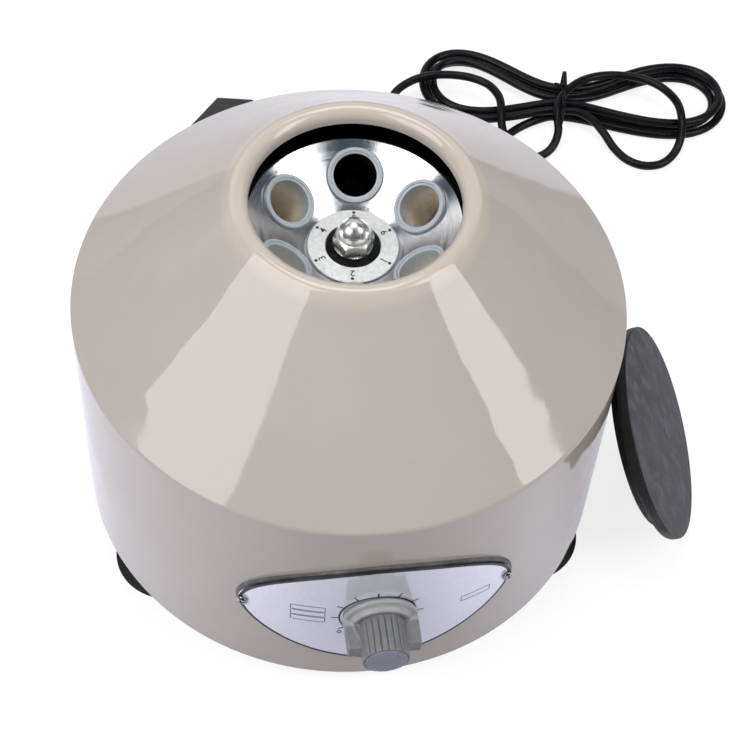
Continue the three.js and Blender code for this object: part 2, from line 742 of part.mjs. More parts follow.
function addPanel() {
  const bend = (radius) => rod(radius, -ridgeHeight, ridgeHeight * 2, drumSteps);
  const [nearWall, farOut] = [drumRadius / 2, drumRadius * 2];
  const holes = (solid) => {
    let left = solid.subtract(onPanel(rod(bushRadius + slipFit, nearWall, farOut)));
    for (const turn of plateScrewAngles) {
      left = left.subtract(onScrewAxis(rod(plateScrewRadius + slipFit, nearWall, farOut), turn));
    }
    return left;
  };
  const backing = onPanel(oval(0, nearWall, farOut))
    .intersect(bend(plateBend)).subtract(bend(drumRadius + seat));
  add('plate_backing', holes(backing), darkPlastic);
  const plate = onPanel(oval(plateMargin, nearWall, farOut))
    .intersect(bend(plateBend + seat + plateThickness)).subtract(bend(plateBend + seat));
  add('nameplate', holes(plate), satinPlate);
  const seatAt = plateBend + plateThickness + seat * 2;
  const screw = bar([
    [seatAt - plateScrewLength, seatAt, plateScrewRadius],
    [seatAt, seatAt + plateScrewHeadHeight / 2, plateScrewHead],
    [seatAt + plateScrewHeadHeight / 2, seatAt + plateScrewHeadHeight, plateScrewHead * 2 / 3],
  ], smallSteps);
  plateScrewAngles.forEach((turn, i) => {
    add(`plate_screw_${i + 1}`, onScrewAxis(screw, turn), brightSteel);
  });
}

function addSpeedControl() {
  const wallInside = drumRadius - drumWall - seat;
  const bushTip = -panelFace + seat;
  const potBack = wallInside - potDepth;
  const potFront = wallInside - drumWall / 2;
  const control = bar([[potBack, potFront, potRadius], [potFront, bushTip, bushRadius]])
    .subtract(rod(bushBore, wallInside - potShaftInside, bushTip + cutOverrun));
  add('speed_pot', onPanel(control), zincSteel);
  const boardFace = potBack - seat;
  const [halfWidth, halfTall] = [boardWidth / 2, boardTall / 2];
  const back = boardFace - boardThickness;
  const board = block([-halfWidth, -halfTall, back], [halfWidth, halfTall, boardFace])
    .add(block([-halfWidth + boardEdge, -halfTall + boardEdge, back - boardPartDepth],
      [-halfWidth + boardPartWidth, -halfTall + boardPartWidth, back + boardThickness / 2]))
    .add(block([halfWidth - boardSinkWidth, -halfTall + boardEdge, back - boardSinkDepth],
      [halfWidth - boardEdge, -halfTall + boardSinkTall, back + boardThickness / 2]));
  add('control_board', onPanel(board), boardGreen);
}

const knobBack = -panelFace + knobGap + seat;
const knobFront = -panelFace + knobLength;
const knobShaftTop = knobFront - knobCrown;

function addKnob() {
  const fromInside = drumRadius - drumWall - potShaftInside;
  add('pot_shaft', onPanel(rod(potShaftRadius, fromInside + seat * 2, knobShaftTop - seat)), brightSteel);
  const skirt = bar([
    [knobBack, knobBack + knobSkirtHeight, knobSkirtRadius],
    [knobBack + knobSkirtHeight, knobBack + knobShoulderHeight, knobShoulderRadius],
  ]);
  const ribbed = [];
  for (let i = 0; i < knobRibs; i += 1) {
    const pitch = 360 / knobRibs;
    ribbed.push(around(i * pitch, knobBarrelRadius), around((i + 1 / 2) * pitch, knobBarrelRadius));
    ribbed.push(around((i + 3 / 4 - knobGrooveShare / 2) * pitch, knobBarrelRadius - knobRibDepth));
    ribbed.push(around((i + 3 / 4 + knobGrooveShare / 2) * pitch, knobBarrelRadius - knobRibDepth));
  }
  const barrel = raised(ribbed, knobBack + knobSkirtHeight / 2, knobFront);
  const [halfSpan, halfWing] = [knobWingSpan / 2, knobWingThickness / 2];
  const wings = block([-halfSpan, -halfWing, knobBack + knobSkirtHeight / 2],
    [halfSpan, halfWing, -panelFace + knobWingLength]);
  const bore = rod(potShaftRadius + slipFit, knobBack - cutOverrun, knobShaftTop);
  const capSeat = rod(knobCapRadius + slipFit, knobFront - knobCapDepth, knobFront + cutOverrun, partSteps);
  add('speed_knob', onPanel(skirt.add(barrel).add(wings).subtract(bore).subtract(capSeat)), knobGrey);
  add('knob_cap', onPanel(rod(knobCapRadius, knobFront - knobCapDepth + seat,
    knobFront + seat * 2, partSteps)), knobBlue);
}

function addLid() {
  const half = lidRimThickness / 2;
  const plugRadius = mouthRadius - lidPlugClearance;
  const domeRadius = (lidRadius ** 2 + lidDome ** 2) / (2 * lidDome);
  const domeAt = (radius) => half + lidDome - (domeRadius - Math.sqrt(domeRadius ** 2 - radius ** 2));
  const faceEdge = lidRadius - half;
  const disc = turned([
    [0, -half - lidPlugDepth], [plugRadius - lidPlugChamfer, -half - lidPlugDepth],
    [plugRadius, -half - lidPlugDepth + lidPlugChamfer], [plugRadius, -half],
    ...arc(lidRadius - half, 0, half, -90, lidRimTurn, edgeSteps),
    [faceEdge, domeAt(faceEdge)], [faceEdge * 3 / 4, domeAt(faceEdge * 3 / 4)],
    [faceEdge / 2, domeAt(faceEdge / 2)], [faceEdge / 4, domeAt(faceEdge / 4)], [0, domeAt(0)],
  ], discSteps);
  const lid = add('lid', disc, lidRubber);
  const lean = lidLean * degrees;
  const height = half + (lidRadius - half) * Math.cos(lean) + seat;
  // The top of the plug's edge, or of the rim behind it, rests on the drum wall
  const plugReach = (plugRadius - lidPlugChamfer) * Math.sin(lean) + (half + lidPlugDepth) * Math.cos(lean);
  const rimReach = (lidRadius - half) * Math.sin(lean) + half;
  const outFromWall = Math.max(plugReach, rimReach) + seat;
  const [x, y] = around(lidAngle, drumRadius + outFromWall);
  lid.rotation.set(0, (90 - lidLean) * degrees, 0);
  const swing = new THREE.Group();
  swing.position.set(x, y, height);
  swing.rotation.z = lidFaceAngle * degrees;
  swing.add(lid);
  whole.add(swing);
}

// One unbroken tube along a list of centre points, each ring square to the path
function tubeAlong(points, radius, sides) {
  const corners = [];
  const faces = [];
  const along = points.map((point, i) => points[Math.min(i + 1, points.length - 1)].clone()
    .sub(points[Math.max(i - 1, 0)]).normalize());
  const up = new THREE.Vector3(0, 0, 1);
  points.forEach((point, i) => {
    const side = new THREE.Vector3().crossVectors(along[i], up).normalize();
    const over = new THREE.Vector3().crossVectors(side, along[i]);
    for (let k = 0; k < sides; k += 1) {
      const angle = (k + 1 / 2) * 2 * Math.PI / sides;
      corners.push(point.clone().addScaledVector(side, radius * Math.cos(angle))
        .addScaledVector(over, radius * Math.sin(angle)));
    }
  });
  for (let i = 0; i + 1 < points.length; i += 1) {
    for (let k = 0; k < sides; k += 1) {
      const [p, q] = [i * sides + k, i * sides + (k + 1) % sides];
      faces.push(p, q, q + sides, p, q + sides, p + sides);
    }
  }
  const last = (points.length - 1) * sides;
  for (let k = 1; k + 1 < sides; k += 1) faces.push(0, k + 1, k, last, last + k, last + k + 1);
  const geometry = new THREE.BufferGeometry();
  const flat = faces.flatMap((corner) => corners[corner].toArray());
  geometry.setAttribute('position', new THREE.BufferAttribute(new Float32Array(flat), 3));
  return solidOf(geometry);
}

// Centre line of the hank: long loops drawn in at the waist, spiralling in on the bench and out again
// one layer up. Turn 0 is the waist on the side of the drum, and the climb is along the far run.
const hankDrop = cordRadius + benchClearance;
function hankOutline(turn) {
  const angle = (turn - 1 / 4) * 2 * Math.PI;
  const [across, along] = [Math.sin(angle), Math.cos(angle)];
  const reach = (along > 0 ? hankRight : hankLeft) * along * (1 - hankRounding * across ** 2);
  const side = across * (hankWaist + hankSpread * along ** 2);
  return new THREE.Vector2(reach, side + hankBow * reach ** 2 / (reach ** 2 + hankBowReach ** 2));
}
function hankPoint(turn) {
  const step = 1 / hankSteps / hankSteps;
  const here = hankOutline(turn);
  const ahead = hankOutline(turn + step).sub(hankOutline(turn - step)).normalize();
  const middle = hankTurns / 2;
  const inset = hankPitch * (middle - Math.abs(turn - middle));
  here.addScaledVector(new THREE.Vector2(-ahead.y, ahead.x), inset);
  const climb = THREE.MathUtils.smoothstep(turn, middle - 1 / 4, middle + 1 / 4);
  const lift = hankTieLift * Math.exp(-((here.x / hankTieReach) ** 2));
  const swing = hankAngle * degrees;
  return new THREE.Vector3(
    hankMiddle[0] + here.x * Math.cos(swing) - here.y * Math.sin(swing),
    hankMiddle[1] + here.x * Math.sin(swing) + here.y * Math.cos(swing),
    hankDrop + lift + climb * hankLayer,
  );
}
const hankPath = [
  hankPoint(-hankOverrun),
  ...Array.from({ length: hankTurns * hankSteps + 1 }, (_, i) => hankPoint(i / hankSteps)),
  hankPoint(hankTurns + hankOverrun),
];

// Least gap between stretches of the hank that aren't neighbours along it
function leastGap(path, radius) {
  const fine = path.slice(0, -1).flatMap((point, i) => [0, 1 / 4, 1 / 2, 3 / 4]
    .map((share) => point.clone().lerp(path[i + 1], share)));
  let least = Infinity;
  for (let i = 0; i < fine.length; i += 1) {
    for (let k = i + hankSteps; k < fine.length; k += 1) {
      least = Math.min(least, fine[i].distanceTo(fine[k]) - 2 * radius);
    }
  }
  return least;
}

// The lead's route from the gland to the hank, and on from the hank to the plug
const leadRoute = [
  [0.3, 164, 34.7], [2.5, 171.5, 32.5], [8, 177.5, 27.7], [16.5, 181.3, 20.8], [27, 183.3, 13.6],
  [39, 184.5, 7.6], [52, 185.5, 3.9], [65, 187, 2.7], [81, 190, 2.6], [98, 196, 2.6], [114, 203, 2.6],
  [125, 213.2, 2.65], [137.4, 220.6, 3.1],
];
const tailRoute = [
  [175.8, 216.8, 8.8], [182, 208.6, 5.6], [187.2, 197, 3], [193.8, 187.4, 2.65], [203, 182.6, 2.65],
  [213.4, 183.4, 2.9], [222, 189.6, 4.9], [227, 198.4, 9.6], [228.6, 208.2, 13.8], [228.4, 219, 14.6],
  [223.8, 230, 14.5], [215.6, 238.4, 14.4], [204.2, 243.4, 14.4], [192.4, 245.4, 14.6],
  [181, 243.8, 15.4], [171, 239.4, 16.1], [162.8, 232.6, 16.3], [156.8, 224.4, 16.2],
  [154.6, 215.8, 14.1], [154.2, 207.6, 9.8], [150.2, 200.2, 5.5], [143.4, 195.8, 3.2],
  [135.2, 195, 2.75], [127.6, 198.4, 4], [122.8, 205.4, 7.3], [121.2, 214.2, 11.2],
  [122.2, 223.8, 14.1], [122.4, 233.4, 14.7], [118, 243.6, 14.4], [109, 250.2, 14.4],
  [97.4, 253.8, 14.4], [84.4, 254.4, 14.4], [73.4, 253, 12.8], [63.2, 249, 8.8], [56.5, 240.5, 4.8],
  [48, 230.5, 2.8], [39, 219, 2.6], [30.5, 207, 2.6], [22.5, 194, 2.6], [15.5, 182, 2.9],
  [9, 171, 4.3], [2.5, 160.5, 7], [-4.5, 150.5, 10.6], [-12, 141.1, 14.6], [-20.5, 135.1, 18],
  [-30.8, 134.1, 21.4], [-40.2, 138.2, 24.6], [-46.4, 146.9, 27.2],
];

// The lead and the tail meet the hank squarely: straight for one diameter, a small gap before it
function joint(end, inner) {
  const out = end.clone().sub(inner).setZ(0).normalize();
  return [seat, seat + cordRadius * 2].map((distance) => end.clone().addScaledVector(out, distance));
}
const [leadEnd, leadTurn] = joint(hankPath[0], hankPath[1]);
const [tailStart, tailTurn] = joint(hankPath.at(-1), hankPath.at(-2));

const bootStart = drumRadius + seat;
const leadStart = new THREE.Vector3(0, bootStart + glandLength + seat, glandHeight);

// The plug's own frame: its narrow end's middle at 0, the lead coming out along -Y
const halfTop = plugTopWidth / 2;
const onPlug = (x, y, z) => new THREE.Vector3(x + halfTop, y, z)
  .applyAxisAngle(new THREE.Vector3(0, 0, 1), plugAngle * degrees)
  .add(new THREE.Vector3(...plugOrigin, 0));
const plugMiddle = plugPinLength + plugBodyHeight / 2;
const bootEnd = onPlug(0, -plugDepth - plugBootLength, plugMiddle);
const [tailEnd, tailFinish] = joint(bootEnd, onPlug(0, 0, plugMiddle));

function smoothPath(points, spacing) {
  const curve = new THREE.CatmullRomCurve3(points, false, 'centripetal');
  const count = Math.round(curve.getLength() / spacing);
  return curve.getSpacedPoints(count);
}

function addLead() {
  const wallIn = wallInsideAt(glandFlangeRadius) - seat;
  const gland = bar([
    [wallIn - glandFlangeThickness, wallIn, glandFlangeRadius],
    [wallIn, bootStart, glandNeckRadius],
    [bootStart, bootStart + glandFlangeThickness, glandFlangeRadius],
  ]);
  const boot = turned([
    [0, bootStart], [glandRootRadius, bootStart],
    [glandTipRadius, bootStart + glandLength], [0, bootStart + glandLength],
  ]);
  add('cord_gland', gland.add(boot).rotate([-90, 0, 0]).translate([0, 0, glandHeight]), blackRubber, lead);
  const vectors = (route) => route.map((point) => new THREE.Vector3(...point));
  const leadPath = smoothPath([leadStart, ...vectors(leadRoute), leadTurn, leadEnd], cordRadius * 3);
  const tailPath = smoothPath([tailStart, tailTurn, ...vectors(tailRoute), tailFinish, tailEnd], cordRadius * 3);
  add('cord_lead', tubeAlong(leadPath, cordRadius, cordSides), cordBlack, lead);
  add('cord_hank', tubeAlong(hankPath, cordRadius, hankSides), cordBlack, lead);
  add('cord_tail', tubeAlong(tailPath, cordRadius, cordSides), cordBlack, lead);
}

function addTie() {
  const halfWide = hankWaist + cordRadius + tieGap;
  const low = hankTieLift - tieGap + benchClearance;
  const high = hankDrop + hankTieLift + hankLayer * 2 + cordRadius + tieGap;
  const band = (grow) => {
    const [x, bottom, top, r] = [halfWide + grow, low - grow, high + grow, tieRound + grow];
    const shape = new THREE.Shape();
    shape.moveTo(-x + r, bottom);
    shape.lineTo(x - r, bottom);
    shape.absarc(x - r, bottom + r, r, -Math.PI / 2, 0, false);
    shape.absarc(x - r, top - r, r, 0, Math.PI / 2, false);
    shape.absarc(-x + r, top - r, r, Math.PI / 2, Math.PI, false);
    shape.absarc(-x + r, bottom + r, r, Math.PI, Math.PI * 3 / 2, false);
    return shape;
  };
  const ring = raised(band(tieThickness), -tieWidth / 2, tieWidth / 2, smallSteps / 4)
    .subtract(raised(band(0), -cutOverrun, cutOverrun, smallSteps / 4));
  const upright = ring.rotate([90, 0, 90 + hankAngle]).translate([...hankMiddle, 0]);
  add('cord_tie', upright, blackRubber, lead);
}

function addPlug() {
  const halfWide = plugWidth / 2;
  const body = raised([
    [-halfTop, 0], [-halfWide, -plugShoulder], [-halfWide, -plugDepth + plugCorner],
    [-halfWide + plugCorner, -plugDepth], [halfWide - plugCorner, -plugDepth],
    [halfWide, -plugDepth + plugCorner], [halfWide, -plugShoulder], [halfTop, 0],
  ], plugPinLength, plugPinLength + plugBodyHeight);
  const pin = (x, y, wide, thick) => block([x - wide / 2, y - thick / 2, 0],
    [x + wide / 2, y + thick / 2, plugPinLength + plugBevel]);
  const live = -plugEarthInset - plugEarthOffset;
  const boot = turned([
    [0, -plugBevel], [plugBootRoot, -plugBevel], [plugBootTip, plugBootLength], [0, plugBootLength],
  ], smallSteps).rotate([90, 0, 0]).translate([0, -plugDepth, plugMiddle]);
  const plug = body.add(pin(0, -plugEarthInset, plugPinThickness, plugEarthWidth))
    .add(pin(-plugPinSpacing / 2, live, plugPinWidth, plugPinThickness))
    .add(pin(plugPinSpacing / 2, live, plugPinWidth, plugPinThickness))
    .add(boot);
  add('mains_plug', plug.translate([halfTop, 0, 0]).rotate([0, 0, plugAngle])
    .translate([...plugOrigin, 0]), cordBlack, lead);
}

addHousing();
addChamber();
addBase();
addFeet();
addMotorMounts();
addMotorCase();
addMotorField();
addArmature();
addBrushes();
addRotor();
addSleeves();
addHubTop();
addPanel();
addSpeedControl();
addKnob();
addLid();

// The origin is on the bench, under the middle of everything but the lead
const group = new THREE.Group();
group.add(whole);
group.updateMatrixWorld(true);
const stand = new THREE.Box3().setFromObject(whole, true);
addLead();
addTie();
addPlug();
console.log('hank least gap to itself, mm:', leastGap(hankPath, cordRadius).toFixed(2));
whole.add(lead);
whole.position.set(-(stand.min.x + stand.max.x) / 2, -(stand.min.y + stand.max.y) / 2, 0);

export default group;
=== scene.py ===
"""The looks of a small drum-shaped benchtop centrifuge with a six-sleeve rotor, built round its CAD frame."""

import math

import bmesh
import bpy
from mathutils import Matrix, Vector


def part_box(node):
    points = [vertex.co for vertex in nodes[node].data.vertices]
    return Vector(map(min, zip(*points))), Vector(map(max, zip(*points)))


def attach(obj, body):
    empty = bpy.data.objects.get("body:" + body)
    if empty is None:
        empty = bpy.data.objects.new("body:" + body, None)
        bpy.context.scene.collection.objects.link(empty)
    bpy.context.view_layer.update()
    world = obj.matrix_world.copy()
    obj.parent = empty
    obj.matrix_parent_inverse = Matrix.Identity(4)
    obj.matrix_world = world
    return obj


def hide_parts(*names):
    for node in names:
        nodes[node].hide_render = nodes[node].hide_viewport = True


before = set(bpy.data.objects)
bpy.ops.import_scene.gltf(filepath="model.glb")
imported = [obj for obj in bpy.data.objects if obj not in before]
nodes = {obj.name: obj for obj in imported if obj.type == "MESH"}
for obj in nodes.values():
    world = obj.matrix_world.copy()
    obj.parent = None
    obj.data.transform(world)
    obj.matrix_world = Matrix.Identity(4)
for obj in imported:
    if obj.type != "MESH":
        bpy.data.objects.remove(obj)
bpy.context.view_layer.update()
scene = bpy.context.scene
scene.view_settings.view_transform = "Standard"

# The drum's axis
# Every round piece is placed from it. It stands on the bench, in the middle of the housing.
housing_low, housing_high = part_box("housing")
drum_axis = (housing_low + housing_high) / 2
drum_axis.z = 0
on_drum = Matrix.Translation(drum_axis)
full_turn = 2 * math.pi

# Camera
# It stands in front of the dial and high above it, a little to the left, and looks down into the mouth.
camera_spot = Vector((-0.0929, -0.5466, 0.8709))
camera_heading = math.radians(11.15)
camera_pitch = math.radians(55.05)
camera_roll = math.radians(4.59)
camera_lens = 93.84
ahead = Vector((
    math.sin(camera_heading) * math.cos(camera_pitch),
    math.cos(camera_heading) * math.cos(camera_pitch),
    -math.sin(camera_pitch),
))
level = Vector((math.cos(camera_heading), -math.sin(camera_heading), 0))
upright = level.cross(ahead)
camera_right = level * math.cos(camera_roll) + upright * math.sin(camera_roll)
camera_up = upright * math.cos(camera_roll) - level * math.sin(camera_roll)
camera_turn = Matrix((camera_right, camera_up, -ahead)).transposed().to_4x4()
camera = bpy.data.objects.new("camera", bpy.data.cameras.new("camera"))
camera.data.sensor_width = 36
camera.data.lens = camera_lens
scene.collection.objects.link(camera)
camera.matrix_world = Matrix.Translation(drum_axis + camera_spot) @ camera_turn
scene.camera = camera


# Room
# A white bench in an even, dim room. What the camera sees behind the bench is white. Metal mirrors a dark
# room with a bright backdrop behind the drum, and a bench with painted light and painted shade on it.
def add_node(tree, kind, inputs=None, **settings):
    """A node of that kind, with its settings, and its inputs set to a value or linked to an output."""
    node = tree.nodes.new(kind)
    for setting, value in settings.items():
        setattr(node, setting, value)
    for socket, value in (inputs or {}).items():
        if isinstance(value, bpy.types.NodeSocket):
            tree.links.new(value, node.inputs[socket])
        else:
            node.inputs[socket].default_value = value
    return node


def maths(tree, operation, *values):
    """The output of a maths node on one, two or three values."""
    return add_node(tree, "ShaderNodeMath", dict(enumerate(values)), operation=operation).outputs[0]


def split(tree, vector):
    """The X, Y and Z outputs of a vector."""
    return add_node(tree, "ShaderNodeSeparateXYZ", {0: vector}).outputs


def moved(tree, vector, **mapping):
    """The output of a vector that is moved, turned or scaled."""
    return add_node(tree, "ShaderNodeMapping", {"Vector": vector, **mapping}).outputs[0]


MIX_A, MIX_B, MIX_COLOUR = 6, 7, 2


def mixed(tree, share, first, second, blend="MIX"):
    """The output of a colour mix of two colours."""
    inputs = {0: share, MIX_A: first, MIX_B: second}
    return add_node(tree, "ShaderNodeMix", inputs, data_type="RGBA", blend_type=blend).outputs[MIX_COLOUR]


def ranged(tree, value, low, high, start=0.0, end=1.0):
    """The output of a smooth step of a value between low and high."""
    inputs = {"Value": value, "From Min": low, "From Max": high, "To Min": start, "To Max": end}
    return add_node(tree, "ShaderNodeMapRange", inputs, interpolation_type="SMOOTHSTEP").outputs["Result"]


def ray_kinds(tree):
    """Whether a ray comes from the camera, and whether it was mirrored or let through, as 0 or 1."""
    paths = add_node(tree, "ShaderNodeLightPath").outputs
    return paths["Is Camera Ray"], maths(tree, "MAXIMUM", paths["Is Glossy Ray"], paths["Is Transmission Ray"])


white = (1, 1, 1, 1)
room_fill = (0.36, 0.36, 0.37, 1)
room_in_metal = (0.055, 0.07, 0.09, 1)
backdrop_in_metal = (1.1, 1.1, 1.12, 1)
world = bpy.data.worlds.new("room")
world.use_nodes = True
room = world.node_tree
room.nodes.clear()
to_camera, mirrored = ray_kinds(room)
toward = split(room, add_node(room, "ShaderNodeTexCoord").outputs["Generated"])
above_bench = maths(room, "MULTIPLY", ranged(room, toward[2], 0.1, 0.2), ranged(room, toward[2], 0.78, 0.62))
on_backdrop = maths(room, "MULTIPLY", above_bench, ranged(room, toward[1], 0.38, 0.58))
room_mirrored = mixed(room, on_backdrop, room_in_metal, backdrop_in_metal)
room_seen = mixed(room, mirrored, room_fill, room_mirrored)
background = add_node(room, "ShaderNodeBackground", {"Color": mixed(room, to_camera, room_seen, white)})
add_node(room, "ShaderNodeOutputWorld", {"Surface": background.outputs[0]})
scene.world = world

bench_radius = 1.7
bench_steps = 96
bench_shade_white = 0.80
bench_own_white = (0.25, 0.25, 0.25, 1)
bench_matt = (0.54, 0.53, 0.54, 1)
# The bench as metal mirrors it: painted light behind the drum and on the flanks in front, painted shade in front of
# the middle and by the lid.
bench_lit_in_gloss = (0.90, 0.88, 0.96, 1)
bench_unlit_in_gloss = (0.42, 0.41, 0.43, 1)
bench_front_shade_in_gloss = (0.52, 0.51, 0.62, 1)
bench_flank_light_in_gloss = (1.06, 1.05, 1.2, 1)
bench_lid_shade_in_gloss = (0.62, 0.61, 0.68, 1)
lit_left, lit_left_spread = -0.140, -0.474
lit_right, lit_right_spread = 0.187, 0.430


def polar(radius, angle, height=0.0):
    """A point at a radius, an angle and a height."""
    return Vector((radius * math.cos(angle), radius * math.sin(angle), height))


def add_object(name, data):
    """An object of this mesh, lamp or curve in the scene."""
    made = bpy.data.objects.new(name, data)
    scene.collection.objects.link(made)
    return made


bench_mesh = bpy.data.meshes.new("bench")
bench_rim = [drum_axis + polar(bench_radius, full_turn * i / bench_steps) for i in range(bench_steps)]
bench_mesh.from_pydata(bench_rim, [], [range(bench_steps)])
bench = add_object("bench", bench_mesh)

bench_paint = bpy.data.materials.new("bench_white")
bench_paint.use_nodes = True
top = bench_paint.node_tree
top.nodes.clear()
to_camera, mirrored = ray_kinds(top)
from_axis = moved(top, add_node(top, "ShaderNodeTexCoord").outputs["Object"], Location=-drum_axis)
distance = add_node(top, "ShaderNodeVectorMath", {0: from_axis}, operation="LENGTH").outputs["Value"]
across, deep, _ = split(top, from_axis)


def lit_side(edge, spread, sign):
    """How far a point of the bench lies inside one slanting edge of its brightly lit part, as 0 to 1."""
    inward = maths(top, "SUBTRACT", across, maths(top, "MULTIPLY_ADD", deep, spread, edge))
    return ranged(top, maths(top, "MULTIPLY", inward, sign), 0.0, 0.02)


def layered(share, first, second):
    """The output of a mix of two shader nodes."""
    inputs = {0: share, 1: first.outputs[0], 2: second.outputs[0]}
    return add_node(top, "ShaderNodeMixShader", inputs)


lit = add_node(top, "ShaderNodeBsdfDiffuse", {"Color": bench_own_white})
glowing = add_node(top, "ShaderNodeEmission", {"Color": white, "Strength": bench_shade_white})
shadowed = add_node(top, "ShaderNodeAddShader", {0: lit.outputs[0], 1: glowing.outputs[0]})
plain_white = add_node(top, "ShaderNodeEmission", {"Color": white})
seen = layered(ranged(top, distance, 0.35, 0.85), shadowed, plain_white)

# Painted light: the lit wedge of bench behind the drum, between the softboxes' edges. Painted shade: the bench by
# the lid.
well_lit = maths(
    top, "MULTIPLY", lit_side(lit_left, lit_left_spread, 1.0), lit_side(lit_right, lit_right_spread, -1.0)
)
behind = maths(top, "MULTIPLY", well_lit, ranged(top, deep, 0.0, 0.05))
aside = ranged(top, maths(top, "ABSOLUTE", across), 0.02, 0.13)
lid_shade_share = maths(top, "MULTIPLY", ranged(top, across, 0.05, 0.1), ranged(top, deep, -0.12, -0.05))
front_colour = mixed(top, aside, bench_front_shade_in_gloss, bench_flank_light_in_gloss)
front_colour = mixed(top, lid_shade_share, front_colour, bench_lid_shade_in_gloss)
back_colour = mixed(top, behind, bench_unlit_in_gloss, bench_lit_in_gloss)
gloss_colour = mixed(top, ranged(top, deep, 0.14, 0.05), back_colour, front_colour)
in_gloss = add_node(top, "ShaderNodeEmission", {"Color": gloss_colour})
matt = add_node(top, "ShaderNodeBsdfDiffuse", {"Color": bench_matt})
surface = layered(to_camera, layered(mirrored, matt, in_gloss), seen)
add_node(top, "ShaderNodeOutputMaterial", {"Surface": surface.outputs[0]})
bench_mesh.materials.append(bench_paint)

# Lamps
# Two tall softboxes stand left and right of the camera. Their edges show as two bands on the cone. A third
# hangs over the drum and lights the mouth, the rotor and the crest of the roll.
softbox_distance = 1.25
softbox_aim = Vector((0, 0, 0.17))
softbox_colour = (0.97, 0.985, 1.0)
softboxes = {  # azimuth and elevation in degrees, width, height and power
    "left_softbox": (-158.0, 40.0, 0.94, 1.02, 11.9),
    "right_softbox": (-26.5, 38.0, 0.47, 1.02, 7.5),
    "top_softbox": (90.0, 76.0, 0.6, 0.6, 5.6),
}
for name, (azimuth, elevation, width, height, power) in softboxes.items():
    lamp = bpy.data.lights.new(name, "AREA")
    lamp.shape = "RECTANGLE"
    lamp.size, lamp.size_y = width, height
    lamp.energy = power
    lamp.color = softbox_colour
    lift = math.radians(elevation)
    outward = polar(math.cos(lift), math.radians(azimuth), math.sin(lift))
    stand = add_object(name, lamp)
    stand.location = drum_axis + softbox_aim + outward * softbox_distance
    stand.rotation_euler = outward.to_track_quat("Z", "Y").to_euler()
    stand.visible_camera = False

# Mains lead
# A round black PVC lead, 5 mm thick and 2 m long. It leaves the gland behind the drum, runs round to the
# right, lies there in a hank of three turns and goes on over and round the hank to its plug.
cord_radius = 0.0025
cord_sides = 14
cord_spacing = 0.0022
joint_gap = 0.0003
gland_height = 0.035
gland_length = 0.026
gland_face = 0.1303140
lead_start = Vector((0, gland_face + gland_length + joint_gap, gland_height))
hank_turns = 3
hank_steps = 24
hank_fineness = 4
hank_pitch = 0.006
hank_layer = 0.0057
hank_right = 0.0995
hank_left = 0.0855
hank_waist = 0.0104
hank_spread = 0.055
hank_rounding = 0.35
hank_bow = 0.013
hank_bow_reach = 0.045
hank_middle = Vector((0.1615, 0.2335, 0.0026))
hank_angle = math.radians(-9.58)
hank_overrun = 0.006
hank_tie_lift = 0.0021
hank_tie_reach = 0.020
plug_angle = math.radians(-9.58)
plug_spot = Vector((-0.0454, 0.2295, 0))
plug_half_top = 0.0103
plug_depth = 0.048
plug_boot_length = 0.018
plug_middle = 0.028
on_plug = (
    on_drum
    @ Matrix.Translation(plug_spot)
    @ Matrix.Rotation(plug_angle, 4, "Z")
    @ Matrix.Translation((plug_half_top, 0, 0))
)
lead_route = [
    (0.0003, 0.164, 0.0347), (0.0025, 0.1715, 0.0325), (0.008, 0.1775, 0.0277), (0.0165, 0.1813, 0.0208),
    (0.027, 0.1833, 0.0136), (0.039, 0.1845, 0.0076), (0.052, 0.1855, 0.0039), (0.065, 0.187, 0.0027),
    (0.081, 0.190, 0.0026), (0.098, 0.196, 0.0026), (0.114, 0.203, 0.0026), (0.125, 0.2132, 0.00265),
    (0.1374, 0.2206, 0.0031),
]
tail_route = [
    (0.1758, 0.2168, 0.0088), (0.182, 0.2086, 0.0056), (0.1872, 0.197, 0.003), (0.1938, 0.1874, 0.00265),
    (0.203, 0.1826, 0.00265), (0.2134, 0.1834, 0.0029), (0.222, 0.1896, 0.0049), (0.227, 0.1984, 0.0096),
    (0.2286, 0.2082, 0.0138), (0.2284, 0.219, 0.0146), (0.2238, 0.230, 0.0145), (0.2156, 0.2384, 0.0144),
    (0.2042, 0.2434, 0.0144), (0.1924, 0.2454, 0.0146), (0.181, 0.2438, 0.0154), (0.171, 0.2394, 0.0161),
    (0.1628, 0.2326, 0.0163), (0.1568, 0.2244, 0.0162), (0.1546, 0.2158, 0.0141), (0.1542, 0.2076, 0.0098),
    (0.1502, 0.2002, 0.0055), (0.1434, 0.1958, 0.0032), (0.1352, 0.195, 0.00275), (0.1276, 0.1984, 0.004),
    (0.1228, 0.2054, 0.0073), (0.1212, 0.2142, 0.0112), (0.1222, 0.2238, 0.0141), (0.1224, 0.2334, 0.0147),
    (0.118, 0.2436, 0.0144), (0.109, 0.2502, 0.0144), (0.0974, 0.2538, 0.0144), (0.0844, 0.2544, 0.0144),
    (0.0734, 0.253, 0.0128), (0.0632, 0.249, 0.0088), (0.0565, 0.2405, 0.0048), (0.048, 0.2305, 0.0028),
    (0.039, 0.219, 0.0026), (0.0305, 0.207, 0.0026), (0.0225, 0.194, 0.0026), (0.0155, 0.182, 0.0029),
    (0.009, 0.171, 0.0043), (0.0025, 0.1605, 0.007), (-0.0045, 0.1505, 0.0106), (-0.012, 0.1411, 0.0146),
    (-0.0205, 0.1351, 0.018), (-0.0308, 0.1341, 0.0214), (-0.0402, 0.1382, 0.0246), (-0.0464, 0.1469, 0.0272),
]


def hank_outline(turn):
    """A point of the hank's long loop, drawn in at the waist, on the flat."""
    angle = (turn - 1 / 4) * full_turn
    across, along = math.sin(angle), math.cos(angle)
    reach = (hank_right if along > 0 else hank_left) * along * (1 - hank_rounding * across**2)
    side = across * (hank_waist + hank_spread * along**2)
    return Vector((reach, side + hank_bow * reach**2 / (reach**2 + hank_bow_reach**2)))


